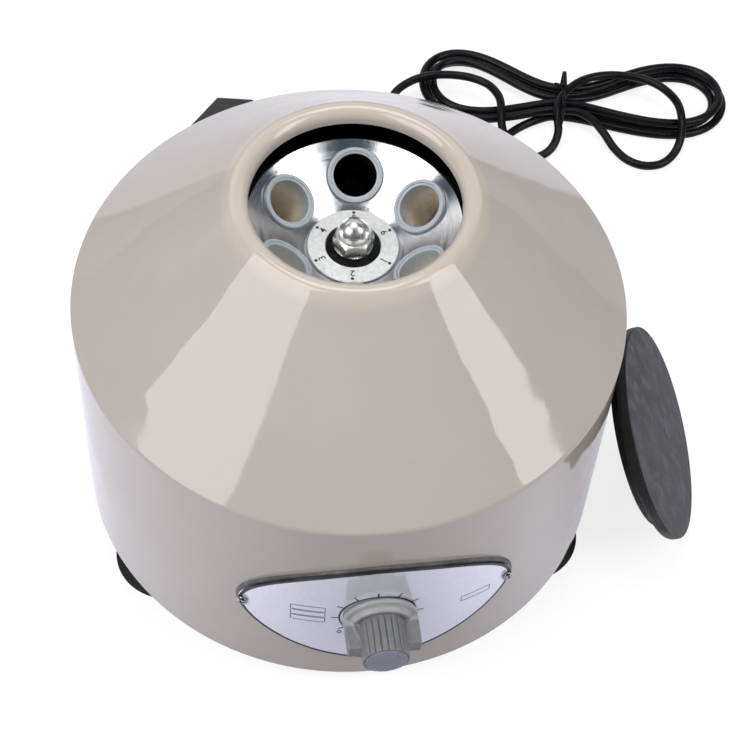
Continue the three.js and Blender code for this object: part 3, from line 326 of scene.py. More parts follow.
def hank_point(turn):
    """A point of the hank, which spirals in on the bench and out again one layer up."""
    step = 1 / hank_steps / hank_steps
    flat = hank_outline(turn)
    along = (hank_outline(turn + step) - hank_outline(turn - step)).normalized()
    middle = hank_turns / 2
    flat += Vector((-along.y, along.x)) * hank_pitch * (middle - abs(turn - middle))
    share = min(max((turn - middle) * 2 + 1 / 2, 0), 1)
    climb = share * share * (3 - 2 * share)
    lift = hank_tie_lift * math.exp(-((flat.x / hank_tie_reach) ** 2))
    spot = Vector((flat.x, flat.y, lift + climb * hank_layer))
    return hank_middle + Matrix.Rotation(hank_angle, 3, "Z") @ spot


def joint_points(end, inner):
    """Where a stretch of lead meets an end squarely: just before it, and one diameter further out."""
    out = end - inner
    out.z = 0
    out.normalize()
    return end + out * joint_gap, end + out * (joint_gap + 2 * cord_radius)


def smooth_route(points, spacing):
    """Points of an even, smooth curve through the route's points."""
    ends = [points[0] * 2 - points[1], *points, points[-1] * 2 - points[-2]]
    made = []
    for before, here, after, beyond in zip(ends, ends[1:], ends[2:], ends[3:]):
        knots = [max((b - a).length, 1e-8) ** 0.5 for a, b in ((before, here), (here, after), (after, beyond))]
        first = (here - before) / knots[0] - (after - before) / (knots[0] + knots[1]) + (after - here) / knots[1]
        last = (after - here) / knots[1] - (beyond - here) / (knots[1] + knots[2]) + (beyond - after) / knots[2]
        first, last = first * knots[1], last * knots[1]
        bend, ease = (after - here) * 3 - first * 2 - last, (here - after) * 2 + first + last
        count = max(round((after - here).length / spacing), 1)
        made += [here + first * t + bend * t**2 + ease * t**3 for t in (k / count for k in range(count))]
    return made + [points[-1]]


fine_steps = hank_steps * hank_fineness
hank_points = [
    hank_point(-hank_overrun),
    *(hank_point(i / hank_steps / hank_fineness) for i in range(hank_turns * fine_steps + 1)),
    hank_point(hank_turns + hank_overrun),
]
lead_end, lead_turn = joint_points(hank_points[0], hank_points[1])
tail_start, tail_turn = joint_points(hank_points[-1], hank_points[-2])
from_plug = on_drum.inverted() @ on_plug
boot_end = from_plug @ Vector((0, -plug_depth - plug_boot_length, plug_middle))
tail_end, tail_finish = joint_points(boot_end, from_plug @ Vector((0, 0, plug_middle)))
lead_points = smooth_route([lead_start, *map(Vector, lead_route), lead_turn, lead_end], cord_spacing)
tail_knots = [tail_start, tail_turn, *map(Vector, tail_route), tail_finish, tail_end]
cord_path = [on_drum @ point for point in lead_points + hank_points + smooth_route(tail_knots, cord_spacing)]


def add_mesh(name, vertices, faces, smooth_below=35):
    """An object of these vertices and faces, its faces outward and its soft edges shaded smooth."""
    mesh = bpy.data.meshes.new(name)
    mesh.from_pydata(vertices, [], faces)
    shell = bmesh.new()
    shell.from_mesh(mesh)
    bmesh.ops.recalc_face_normals(shell, faces=shell.faces)
    shell.to_mesh(mesh)
    shell.free()
    mesh.shade_smooth()
    mesh.set_sharp_from_angle(angle=math.radians(smooth_below))
    return add_object(name, mesh)


def ring_faces(rings, sides, closed=False):
    """The faces between rings of vertices that follow each other, back to the first if closed."""
    faces = []
    for i in range(rings if closed else rings - 1):
        low, high = i * sides, (i + 1) % rings * sides
        faces += [(low + k, low + (k + 1) % sides, high + (k + 1) % sides, high + k) for k in range(sides)]
    return faces


def tube_along(name, path, radius, sides):
    """A closed tube along a path, its rings turned so that they don't twist, with its length in a UV map."""
    vertices, lengths = [], [0.0]
    side = Vector((0, 0, 1)).cross(path[1] - path[0]).normalized()
    for i, point in enumerate(path):
        along = (path[min(i + 1, len(path) - 1)] - path[max(i - 1, 0)]).normalized()
        side = (side - along * side.dot(along)).normalized()
        over = along.cross(side)
        for k in range(sides):
            angle = full_turn * k / sides
            vertices.append(point + (side * math.cos(angle) + over * math.sin(angle)) * radius)
        if i:
            lengths.append(lengths[-1] + (point - path[i - 1]).length)
    ends = [range(sides), range((len(path) - 1) * sides, len(path) * sides)]
    tube = add_mesh(name, vertices, ring_faces(len(path), sides) + ends, 60)
    layer = tube.data.uv_layers.new(name="along")
    for loop in tube.data.loops:
        vertex = loop.vertex_index
        layer.data[loop.index].uv = (vertex % sides / sides, lengths[vertex // sides])
    return tube


# Shader groups: what more than one finish uses
def new_group(name, inputs, outputs):
    """A shader node group. Its inputs' kinds follow from their values. Its two end nodes come back too."""
    group = bpy.data.node_groups.new(name, "ShaderNodeTree")
    for socket, value in inputs.items():
        kind = "Float" if isinstance(value, float) else ("Vector", "Color")[len(value) - 3]
        made = group.interface.new_socket(socket, in_out="INPUT", socket_type=f"NodeSocket{kind}")
        made.default_value = value
    for socket, kind in outputs.items():
        group.interface.new_socket(socket, in_out="OUTPUT", socket_type=f"NodeSocket{kind}")
    return group, add_node(group, "NodeGroupInput").outputs, add_node(group, "NodeGroupOutput")


def use_group(tree, group, **inputs):
    """The outputs of a group placed in a tree."""
    return add_node(tree, "ShaderNodeGroup", inputs, node_tree=group).outputs


def noise(tree, vector, scale, **looks):
    """The output of a noise texture."""
    return add_node(tree, "ShaderNodeTexNoise", {"Vector": vector, "Scale": scale, **looks}).outputs["Fac"]


def wire(tree, node, **outputs):
    """Links outputs to a node's inputs by name."""
    for socket, output in outputs.items():
        tree.links.new(output, node.inputs[socket.replace("_", " ")])


middle_spot = (0, 0, 0)
grain_inputs = {"Position": middle_spot, "Scale": 500.0, "Low": 0.3, "High": 0.7}
grain, given, result = new_group("grain", grain_inputs, {"Value": "Float"})
speckle = noise(grain, given["Position"], given["Scale"], Detail=4.0, Roughness=0.6)
wire(grain, result, Value=ranged(grain, speckle, given["Low"], given["High"]))

mottle_inputs = {"Position": middle_spot, "Scale": 20.0, "Amount": 1.0, "Light": white, "Dark": white}
mottle, given, result = new_group("mottle", mottle_inputs, {"Colour": "Color", "Value": "Float"})
cloud = noise(mottle, given["Position"], given["Scale"], Detail=5.0, Roughness=0.55, Distortion=0.4)
patches = ranged(mottle, cloud, 0.32, 0.68)
strength = maths(mottle, "MULTIPLY", patches, given["Amount"])
wire(mottle, result, Colour=mixed(mottle, strength, given["Light"], given["Dark"]), Value=patches)

marks_inputs = {"Position": middle_spot, "Pitch": 3000.0}
turned_marks, given, result = new_group("turned_marks", marks_inputs, {"Height": "Float", "Value": "Float"})
x, y, z = split(turned_marks, given["Position"])
flat = add_node(turned_marks, "ShaderNodeCombineXYZ", {0: x, 1: y})
radius_out = add_node(turned_marks, "ShaderNodeVectorMath", {0: flat.outputs[0]}, operation="LENGTH")
spiral = add_node(turned_marks, "ShaderNodeCombineXYZ", {0: radius_out.outputs["Value"], 2: z}).outputs[0]
rings = noise(turned_marks, spiral, given["Pitch"], Detail=3.0, Roughness=0.7)
broad_rings = noise(turned_marks, spiral, 260.0, Detail=2.0)
wire(turned_marks, result, Height=rings, Value=ranged(turned_marks, broad_rings, 0.35, 0.65))

edge_wear, given, result = new_group("edge_wear", {"Reach": 0.06}, {"Mask": "Float"})
curved = add_node(edge_wear, "ShaderNodeNewGeometry").outputs["Pointiness"]
limit = maths(edge_wear, "ADD", 0.5, given["Reach"])
wire(edge_wear, result, Mask=ranged(edge_wear, curved, 0.505, limit))

dust_inputs = {"Position": middle_spot, "Scale": 400.0, "Amount": 0.5}
dust, given, result = new_group("dust", dust_inputs, {"Mask": "Float"})
upward = ranged(dust, split(dust, add_node(dust, "ShaderNodeNewGeometry").outputs["Normal"])[2], 0.1, 0.9)
flecks = noise(dust, given["Position"], given["Scale"], Detail=6.0, Roughness=0.75)
settled = maths(dust, "MULTIPLY", upward, ranged(dust, flecks, 0.52, 0.75))
wire(dust, result, Mask=maths(dust, "MULTIPLY", settled, given["Amount"]))


def new_finish(name, **sockets):
    """A material with its shader's plain values set. Its tree, its shader and Object coordinates come back."""
    finish = bpy.data.materials.new(name)
    finish.use_nodes = True
    tree = finish.node_tree
    shader = tree.nodes["Principled BSDF"]
    for socket, value in sockets.items():
        shader.inputs[socket.replace("_", " ")].default_value = value
    return finish, tree, shader, add_node(tree, "ShaderNodeTexCoord").outputs["Object"]


def raise_grain(tree, shader, height, distance):
    """Bumps the shader's surface by a height of 0 to 1, over a distance in metres."""
    bump = add_node(tree, "ShaderNodeBump", {"Strength": 1.0, "Distance": distance, "Height": height})
    wire(tree, shader, Normal=bump.outputs[0])


def mottled(tree, spot, scale, light, dark):
    """The outputs of patches of two colours."""
    return use_group(tree, mottle, Position=spot, Scale=scale, Light=(*light, 1), Dark=(*dark, 1))


def mottled_finish(name, scale, light, dark, bump, skin=None, rough=None, worn=None, dusty=None, **sockets):
    """A finish in patches of two colours, which may be rougher and smoother too. Its edges may be worn, or
    dust may lie on it. It has a fine skin of its own scale, or else its patches are raised."""
    finish, tree, shader, spot = new_finish(name, **sockets)
    patches = mottled(tree, spot, scale, light, dark)
    colour = patches["Colour"]
    if worn:
        reach, bare = worn
        colour = mixed(tree, use_group(tree, edge_wear, Reach=reach)["Mask"], colour, (*bare, 1))
    if dusty:
        fleck_scale, amount, grey = dusty
        settled = use_group(tree, dust, Position=spot, Scale=fleck_scale, Amount=amount)
        colour = mixed(tree, settled["Mask"], colour, (*grey, 1))
    wire(tree, shader, Base_Color=colour)
    if rough:
        wire(tree, shader, Roughness=ranged(tree, patches["Value"], 0.0, 1.0, *rough))
    raised = use_group(tree, grain, Position=spot, Scale=skin) if skin else patches
    raise_grain(tree, shader, raised["Value"], bump)
    return finish


def dress(piece, finish):
    """Gives a piece its one material."""
    piece.data.materials.clear()
    piece.data.materials.append(finish)
    return piece


cord_black = mottled_finish(
    "cord_sheath", scale=60.0, light=(0.003, 0.003, 0.0035), dark=(0.005, 0.005, 0.006), bump=0.00001,
    skin=2200.0, rough=(0.26, 0.36), dusty=(900.0, 0.03, (0.16, 0.16, 0.16)), Roughness=0.3, IOR=1.28,
)
cord = tube_along("mains_lead", cord_path, cord_radius, cord_sides)
dress(cord, cord_black)
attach(cord, "stand")
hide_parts("cord_lead", "cord_hank", "cord_tail")

# Gland
# A black rubber strain relief pushed through the drum's wall. Rings down its tapered tail let it bend.
drum_wall = 0.0025
drum_radius = (housing_high.x - housing_low.x) / 2
gland_flange_radius = 0.009
gland_flange_thickness = 0.0024
gland_neck_radius = 0.006
gland_root_radius = 0.0064
gland_tip_radius = 0.0039
gland_rings = 7
gland_groove = 0.0009


def rounded_outline(corners, arc_steps=5, longest=0.006, guard=0.0002):
    """An outline of (radius, height, rounding) corners as points, with arcs at its rounded corners.
    Long straight stretches get points too, some close to their ends, so that flat faces shade flat."""
    points = []
    for i, (x, z, rounding) in enumerate(corners):
        here = Vector((x, z))
        if not rounding:
            points.append(here)
            continue
        back = (Vector(corners[i - 1][:2]) - here).normalized()
        on = (Vector(corners[(i + 1) % len(corners)][:2]) - here).normalized()
        half = back.angle(on) / 2
        centre = here + (back + on).normalized() * rounding / math.sin(half)
        first = here + back * rounding / math.tan(half) - centre
        last = here + on * rounding / math.tan(half) - centre
        sweep = first.angle_signed(last)
        points += [centre + Matrix.Rotation(-sweep * k / arc_steps, 2) @ first for k in range(arc_steps + 1)]
    filled = []
    for here, after in zip(points, points[1:] + points[:1]):
        filled.append(here)
        length = (after - here).length
        if length >= 4 * guard:
            count = math.ceil(length / longest)
            shares = [guard / length, *(k / count for k in range(1, count)), 1 - guard / length]
            filled += [here.lerp(after, share) for share in shares]
    return filled


def turned(name, outline, steps, place=on_drum, radius_at=None):
    """A closed piece turned round Z from its outline, then placed. radius_at(radius, height, angle)
    may make it other than round."""
    vertices, faces, rings = [], [], []
    for radius, height in outline:
        count = 1 if radius < 1e-7 else steps
        rings.append(range(len(vertices), len(vertices) + count))
        for i in range(count):
            angle = full_turn * i / steps
            vertices.append(place @ polar(radius_at(radius, height, angle) if radius_at else radius, angle, height))
    for low, high in zip(rings, rings[1:] + rings[:1]):
        for i in range(steps):
            near, far = i % len(low), (i + 1) % len(low)
            corners = (low[near], low[far], high[(i + 1) % len(high)], high[i % len(high)])
            face = list(dict.fromkeys(corners))
            if len(face) > 2:
                faces.append(face)
    return add_mesh(name, vertices, faces)


def ringed_tail(root, tip, rings, groove, start, pitch, grooved):
    """The corners of a tapering tail with rings. A groove takes this share of the pitch of each."""
    corners = []
    for i in range(rings):
        near, far = (root + (tip - root) * k / rings for k in (i, i + 1))
        begin = start + i * pitch
        corners += [
            (near - groove, begin, 0.0002),
            (near - groove, begin + pitch * grooved, 0.0002),
            (near, begin + pitch * (grooved + 0.04), 0.0003),
            (far, begin + pitch * 0.96, 0.0003),
        ]
    return corners


black_rubber = mottled_finish(
    "black_rubber", scale=90.0, light=(0.006, 0.006, 0.006), dark=(0.011, 0.0105, 0.010), bump=0.00004,
    skin=1400.0, rough=(0.5, 0.68), dusty=(500.0, 0.12, (0.11, 0.105, 0.1)), Roughness=0.6, IOR=1.3,
)
wall_inside = drum_radius - drum_wall - 2 * joint_gap
wall_outside = drum_radius + joint_gap
gland_end = wall_outside + gland_length
tail_begin = wall_outside + gland_flange_thickness + 0.0006
tail_pitch = (gland_end - tail_begin) / gland_rings
gland_outline = [
    (0, wall_inside - gland_flange_thickness + joint_gap, 0),
    (gland_flange_radius, wall_inside - gland_flange_thickness + joint_gap, 0.0004),
    (gland_flange_radius, wall_inside, 0.0003),
    (gland_neck_radius, wall_inside, 0),
    (gland_neck_radius, wall_outside, 0),
    (gland_flange_radius, wall_outside, 0.0003),
    (gland_flange_radius, wall_outside + gland_flange_thickness, 0.0008),
    *ringed_tail(gland_root_radius, gland_tip_radius, gland_rings, gland_groove, tail_begin, tail_pitch, 0.38),
    (gland_tip_radius, gland_end, 0.0005),
    (0, gland_end, 0),
]
at_gland = on_drum @ Matrix.Translation((0, 0, gland_height)) @ Matrix.Rotation(-math.pi / 2, 4, "X")
gland = turned("strain_relief", rounded_outline(gland_outline, arc_steps=3), 40, at_gland)
dress(gland, black_rubber)
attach(gland, "stand")
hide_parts("cord_gland")

# Tie
# A black twist tie: a thin strip with a wire in it goes twice round the hank's waist, and its two ends are
# twisted together on top.
tie_half_width = 0.0134
tie_low = 0.0017
tie_high = 0.0191
tie_round = 0.003
tie_radius = 0.0006
tie_turns = 2
tie_drift = 0.0022
tie_twists = 2
tie_twist_length = 0.005
tie_twist_radius = tie_radius * 1.05
tie_twist_rise = 0.0015
tie_twist_steps = 16
tie_steps = 72


def round_waist(share):
    """A point at a share of the way round the hank's waist, on the tie's own flat frame, from the top."""
    half, low, high, corner = tie_half_width + tie_radius, tie_low - tie_radius, tie_high + tie_radius, tie_round
    flat, tall, bend = half - corner, (high - low) / 2 - corner, corner * math.pi / 2
    stretches = [flat, bend, 2 * tall, bend, 2 * flat, bend, 2 * tall, bend, flat]
    centres = [Vector((flat, tall)), Vector((flat, -tall)), Vector((-flat, -tall)), Vector((-flat, tall))]
    left = (share % 1) * sum(stretches)
    turn = math.pi / 2
    spot = Vector((0, tall + corner))
    for i, stretch in enumerate(stretches):
        step = min(left, stretch)
        if i % 2:
            spot = centres[i // 2] + polar(corner, turn - step / corner).to_2d()
            turn -= stretch / corner
        else:
            spot = spot + Vector((math.sin(turn), -math.cos(turn))) * step
        left -= step
        if left <= 0:
            break
    return spot + Vector((0, (high + low) / 2))


def twisted_end(step, start):
    """A point of one of the tie's two twisted ends, which start at opposite angles."""
    share = step / tie_twist_steps
    angle = share * tie_twists * full_turn + start
    rise = tie_high + tie_radius * 2 + tie_twist_radius * math.sin(angle) + tie_twist_rise * share
    return Vector((tie_twist_radius * math.cos(angle), tie_drift / 2 + tie_twist_length * share, rise))


tie_path = [twisted_end(k, 0) for k in range(tie_twist_steps, 0, -1)]
for k in range(tie_turns * tie_steps + 1):
    loop = round_waist(k / tie_steps)
    tie_path.append(Vector((loop.x, (k / tie_steps / tie_turns - 0.5) * tie_drift, loop.y)))
tie_path += [twisted_end(k, math.pi) for k in range(1, tie_twist_steps + 1)]
at_tie = (
    on_drum
    @ Matrix.Translation((hank_middle.x, hank_middle.y, 0))
    @ Matrix.Rotation(hank_angle + math.pi / 2, 4, "Z")
)
tie = tube_along("twist_tie", [at_tie @ point for point in tie_path], tie_radius, 8)
dress(tie, cord_black)
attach(tie, "stand")
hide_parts("cord_tie")

# Plug
# A moulded black plug that stands on its three brass pins, its narrow end to the back.
plug_half_width = 0.026
plug_shoulder = 0.027
plug_pin_length = 0.020
plug_height = 0.016
plug_corner = 0.0048
plug_edge = 0.0012
plug_top = plug_pin_length + plug_height
grip_share = 0.72
grip_middle = -0.0245
grip_edge = 0.0009
boot_root = 0.0058
boot_tip = 0.0036
boot_rings = 4
boot_groove = 0.0008
boot_start = 0.0016
boot_pitch = (plug_boot_length - 0.0024) / boot_rings
plug_earth_inset = 0.012
plug_live_inset = 0.034
plug_pin_aside = 0.011
plug_pin_edge = 0.0006
plug_pin_top = plug_pin_length + 0.001
plug_sleeve_edge = 0.0002
plug_sleeve_gap = 0.00005
plug_sleeve = 0.009


def apply_modifiers(piece):
    """Turns a piece's modifiers into its plain mesh."""
    evaluated = piece.evaluated_get(bpy.context.evaluated_depsgraph_get())
    mesh = bpy.data.meshes.new_from_object(evaluated)
    piece.modifiers.clear()
    piece.data = mesh


def rectangle(left, low, right, high):
    """Four corners."""
    return [(left, low), (right, low), (right, high), (left, high)]


def raised_shape(name, outline, bottom, top, place, edge=0.0, edge_steps=3):
    """A flat outline of (x, y) points, raised between two heights, with rounded edges, and placed."""
    count = len(outline)
    vertices = [Vector((x, y, z)) for z in (bottom, top) for x, y in outline]
    faces = [range(count), range(count, 2 * count), *ring_faces(2, count)]
    piece = add_mesh(name, vertices, faces)
    if edge:
        rounding = piece.modifiers.new("edges", "BEVEL")
        rounding.width = edge
        rounding.segments = edge_steps
        rounding.limit_method = "ANGLE"
        rounding.angle_limit = math.radians(25)
        rounding.harden_normals = True
    apply_modifiers(piece)
    piece.data.transform(place)
    return piece


def joined(name, *pieces):
    """Several pieces as one object."""
    whole = pieces[0]
    with bpy.context.temp_override(
        active_object=whole, object=whole, selected_objects=pieces, selected_editable_objects=pieces
    ):
        bpy.ops.object.join()
    whole.name = whole.data.name = name
    return whole


plug_black = mottled_finish(
    "plug_plastic", scale=45.0, light=(0.012, 0.012, 0.013), dark=(0.022, 0.022, 0.024), bump=0.00003,
    skin=1800.0, rough=(0.36, 0.5), worn=(0.09, (0.05, 0.05, 0.053)), Roughness=0.42, IOR=1.5,
)
plug_flat = rounded_outline([
    (-plug_half_top, 0, 0.0015),
    (-plug_half_width, -plug_shoulder, 0.003),
    (-plug_half_width, -plug_depth, plug_corner),
    (plug_half_width, -plug_depth, plug_corner),
    (plug_half_width, -plug_shoulder, 0.003),
    (plug_half_top, 0, 0.0015),
], arc_steps=4, guard=1.0)
plug_body = raised_shape("plug_body", plug_flat, plug_pin_length, plug_top - plug_edge, on_plug, plug_edge)
grip = [(x * grip_share, grip_middle + (y - grip_middle) * grip_share) for x, y in plug_flat]
plug_grip = raised_shape("plug_grip", grip, plug_pin_length + plug_height / 2, plug_top, on_plug, grip_edge)
boot_outline = [
    (0, -0.002, 0),
    (0.006, -0.002, 0.0004),
    (0.006, 0.0008, 0.0006),
    *ringed_tail(boot_root, boot_tip, boot_rings, boot_groove, boot_start, boot_pitch, 0.36),
    (boot_tip, plug_boot_length, 0.0004),
    (0, plug_boot_length, 0),
]
at_boot = on_plug @ Matrix.Translation((0, -plug_depth, plug_middle)) @ Matrix.Rotation(math.pi / 2, 4, "X")
plug_boot = turned("plug_boot", rounded_outline(boot_outline, arc_steps=3), 32, at_boot)
plug = joined("plug", *(dress(piece, plug_black) for piece in (plug_body, plug_grip, plug_boot)))
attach(plug, "stand")
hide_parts("mains_plug")

brass = mottled_finish(
    "brass", scale=240.0, light=(0.62, 0.43, 0.17), dark=(0.42, 0.27, 0.1), bump=0.00002, skin=3000.0,
    rough=(0.22, 0.42), Roughness=0.3, Metallic=1.0,
)
pin_sizes = {  # x, y, half width, half thickness and the height up to which the pin is bare
    "earth": (0, -plug_earth_inset, 0.002, 0.004, plug_pin_top),
    "left": (-plug_pin_aside, -plug_live_inset, 0.0032, 0.002, plug_pin_length - plug_sleeve),
    "right": (plug_pin_aside, -plug_live_inset, 0.0032, 0.002, plug_pin_length - plug_sleeve),
}
pins, sleeves = [], []
for name, (x, y, half_wide, half_thick, bare) in pin_sizes.items():
    foot = rectangle(x - half_wide, y - half_thick, x + half_wide, y + half_thick)
    pins.append(dress(raised_shape(f"pin_{name}", foot, 0, bare, on_plug, plug_pin_edge), brass))
    if name != "earth":
        low = bare + plug_sleeve_gap
        sleeve = raised_shape(f"pin_sleeve_{name}", foot, low, plug_pin_top, on_plug, plug_sleeve_edge)
        sleeves.append(dress(sleeve, plug_black))
pins = joined("plug_pins", *pins)
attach(pins, "stand")
sleeves = joined("plug_pin_sleeves", *sleeves)
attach(sleeves, "stand")

# Base plate and feet
# A zinc-plated steel disc closes the drum from below. Three rubber suction feet are bolted to it.
foot_count = 3
foot_radius = 0.027
foot_lip = 0.003
foot_crown_radius = 0.015
foot_crown = 0.0097
foot_cavity_height = 0.0044
foot_cavity_radius = 0.011
foot_bore = 0.0028

zinc, tree, shader, spot = new_finish("zinc_steel", Roughness=0.4, Metallic=1.0)
spangle = add_node(tree, "ShaderNodeTexVoronoi", {"Vector": spot, "Scale": 160.0})
plated = mixed(tree, spangle.outputs["Color"], (0.5, 0.51, 0.52, 1), (0.62, 0.63, 0.64, 1))
stain = use_group(tree, mottle, Position=spot, Scale=30.0, Amount=0.35, Light=white, Dark=(0.7, 0.69, 0.67, 1))
wire(
    tree, shader, Base_Color=mixed(tree, 1.0, plated, stain["Colour"], "MULTIPLY"),
    Roughness=ranged(tree, stain["Value"], 0.0, 1.0, 0.34, 0.52),
)
raise_grain(tree, shader, use_group(tree, grain, Position=spot, Scale=1500.0)["Value"], 0.00002)
for name in ("base_plate", "motor_plate", "lower_end_bell", "upper_end_bell", "motor_can", "speed_pot"):
    dress(nodes[name], zinc)
for i in range(foot_count):
    dress(nodes[f"foot_bolt_{i + 1}"], zinc)
    dress(nodes[f"shock_mount_{i + 1}"], black_rubber)

foot_outline = rounded_outline([
    (foot_bore, foot_cavity_height + 0.001, 0),
    (foot_cavity_radius, foot_cavity_height, 0.001),
    (foot_radius - foot_lip, 0.0001, 0.0003),
    (foot_radius, 0.0001, 0.0005),
    (foot_radius, foot_lip * 0.5, 0.0006),
    (foot_crown_radius + foot_lip + 0.003, foot_crown * 0.55, 0.002),
    (foot_crown_radius + foot_lip, foot_crown - foot_lip * 0.5, 0.0008),
    (foot_crown_radius, foot_crown, 0.0005),
    (foot_bore, foot_crown, 0),
], arc_steps=4)
for i in range(foot_count):
    low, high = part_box(f"suction_foot_{i + 1}")
    under = Matrix.Translation(((low.x + high.x) / 2, (low.y + high.y) / 2, 0))
    foot = turned(f"rubber_foot_{i + 1}", foot_outline, 72, under)
    dress(foot, black_rubber)
    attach(foot, "stand")
    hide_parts(f"suction_foot_{i + 1}")


# Motor
# A brushed motor hangs on its plate over three rubber mounts. Its field, armature and brushes are closed in.
def patterned_finish(name, texture, looks, settings, first, second, bump, **sockets):
    """A finish in two colours that follow a texture, whose pattern is raised."""
    finish, tree, shader, spot = new_finish(name, **sockets)
    pattern = add_node(tree, texture, {"Vector": spot, **looks}, **settings).outputs["Fac"]
    wire(tree, shader, Base_Color=mixed(tree, pattern, (*first, 1), (*second, 1)))
    raise_grain(tree, shader, pattern, bump)
    return finish


iron = patterned_finish(
    "laminated_iron", "ShaderNodeTexWave", {"Scale": 320.0, "Distortion": 0.2}, {"bands_direction": "Z"},
    (0.11, 0.115, 0.12), (0.19, 0.19, 0.2), 0.0001, Roughness=0.5, Metallic=0.9,
)
copper = patterned_finish(
    "copper_wire", "ShaderNodeTexWave", {"Scale": 420.0, "Distortion": 1.5, "Detail": 2.0}, {},
    (0.2, 0.06, 0.025), (0.5, 0.2, 0.09), 0.0003, Roughness=0.3, Metallic=1.0, Coat_Weight=0.6,
)
green_board = patterned_finish(
    "control_board", "ShaderNodeTexBrick", {"Scale": 90.0, "Mortar Size": 0.05}, {},
    (0.012, 0.085, 0.04), (0.03, 0.16, 0.07), 0.0001, Roughness=0.4, IOR=1.5,
)
carbon = mottled_finish(
    "carbon", scale=300.0, light=(0.02, 0.02, 0.021), dark=(0.045, 0.045, 0.047), bump=0.00005,
    Roughness=0.65, IOR=1.6,
)
dark_plastic = mottled_finish(
    "dark_plastic", scale=120.0, light=(0.075, 0.075, 0.078), dark=(0.15, 0.15, 0.155), bump=0.00008,
    skin=1100.0, Roughness=0.5, IOR=1.48,
)
bright_steel = mottled_finish(
    "bright_steel", scale=260.0, light=(0.74, 0.75, 0.75), dark=(0.6, 0.6, 0.59), bump=0.000012, skin=1700.0,
    rough=(0.12, 0.26), Roughness=0.18, Metallic=1.0,
)
inside_finishes = {
    "iron": (iron, "field_core", "armature_core"),
    "copper_wire": (copper, "field_coil_1", "field_coil_2", "armature_winding_bottom", "armature_winding_top"),
    "commutator_bars": (brass, "commutator"),
    "carbon": (carbon, "brush_1", "brush_2"),
    "dark_plastic": (dark_plastic, "brush_holder_1", "brush_holder_2"),
    "bright_steel": (bright_steel, "lower_bearing", "upper_bearing", "motor_shaft", "pot_shaft"),
    "board": (green_board, "control_board"),
}
for slot, (finish, *names) in inside_finishes.items():
    for name in names:
        dress(nodes[name], finish)

# Chamber drum
# The black-painted steel drum that stands round the motor and the rotor, seen only through the mouth.
black_paint = mottled_finish(
    "black_paint", scale=40.0, light=(0.03, 0.03, 0.031), dark=(0.042, 0.041, 0.04), bump=0.00006, skin=700.0,
    Roughness=0.7, IOR=1.45,
)
dress(nodes["chamber_drum"], black_paint)

# Housing
# One spun and pressed steel shell in gloss warm-grey paint: a straight wall, a cone and a rolled mouth
# whose lip turns down inside. It is held by the base plate and pierced for the dial, its screws and the lead.
skirt_bottom = housing_low.z
mouth_height = 0.215
ridge_height = mouth_height - 0.073
ridge_round = 0.003
mouth_radius = 0.0474
roll_radius = 0.005
roll_steps = 36
lip_depth = 0.0077
lip_round = 0.0006
housing_steps = 288
panel_height = 0.0722
bush_hole = 0.0039
screw_hole = 0.0019
screw_aside = 0.0612
plate_stand = 0.0015
plate_bend = drum_radius + plate_stand
screw_angle = math.asin(screw_aside / plate_bend)
cutter_reach = 0.02

roll_middle = mouth_radius + roll_radius
roll_centre = mouth_height - roll_radius
roll_across, roll_up = drum_radius - roll_middle, roll_centre - ridge_height
cone_angle = math.atan2(roll_up, roll_across) + math.asin(roll_radius / math.hypot(roll_across, roll_up))
cone_top_radius = roll_middle + roll_radius * math.sin(cone_angle)
wall_drop = drum_wall / math.cos(cone_angle)


def inside_cone(radius):
    """Height of the cone's inner face at a radius."""
    return ridge_height + (drum_radius - radius) * math.tan(cone_angle) - wall_drop


def arc(middle, height, radius, start, end, steps):
    """Unrounded corners along an arc, from one angle to another."""
    turns = (start + (end - start) * k / steps for k in range(steps + 1))
    return [(middle + radius * math.cos(turn), height + radius * math.sin(turn), 0) for turn in turns]


housing_outline = rounded_outline([
    (drum_radius, skirt_bottom, lip_round),
    (drum_radius, ridge_height, ridge_round),
    *arc(roll_middle, roll_centre, roll_radius, math.pi / 2 - cone_angle, math.pi, roll_steps),
    (mouth_radius, mouth_height - lip_depth, lip_round),
    (mouth_radius + drum_wall, mouth_height - lip_depth, lip_round),
    (mouth_radius + drum_wall, inside_cone(cone_top_radius), 0),
    (cone_top_radius, inside_cone(cone_top_radius), 0),
    (drum_radius - drum_wall, inside_cone(drum_radius - drum_wall), 0),
    (drum_radius - drum_wall, skirt_bottom, lip_round),
], arc_steps=8)
housing = turned("drum_shell", housing_outline, housing_steps)


def cut(piece, *cutters, operation="DIFFERENCE", sharp=35):
    """Cuts solid pieces out of a piece, or adds them to it, and removes them."""
    for cutter in cutters:
        hole = piece.modifiers.new("hole", "BOOLEAN")
        hole.operation = operation
        hole.solver = "EXACT"
        hole.object = cutter
    apply_modifiers(piece)
    for cutter in cutters:
        bpy.data.objects.remove(cutter)
    piece.data.set_sharp_from_angle(angle=math.radians(sharp))
    return piece


def rod(radius, place, steps=48):
    """A plain round cutter through the drum's wall."""
    bottom, top = drum_radius - cutter_reach, drum_radius + cutter_reach
    return turned("rod", rectangle(0, bottom, radius, top), steps, place)


on_panel = on_drum @ Matrix.Translation((0, 0, panel_height)) @ Matrix.Rotation(math.pi / 2, 4, "X")
swings = [Matrix.Rotation(side * screw_angle, 4, "Z") for side in (-1, 1)]
screw_axes = [on_drum @ swing @ on_drum.inverted() @ on_panel for swing in swings]


def screw_rods():
    """Cutters for the plate screws' two holes."""
    return [rod(screw_hole, axis, 32) for axis in screw_axes]


cut(housing, rod(bush_hole, on_panel), *screw_rods(), rod(gland_neck_radius + joint_gap, at_gland))

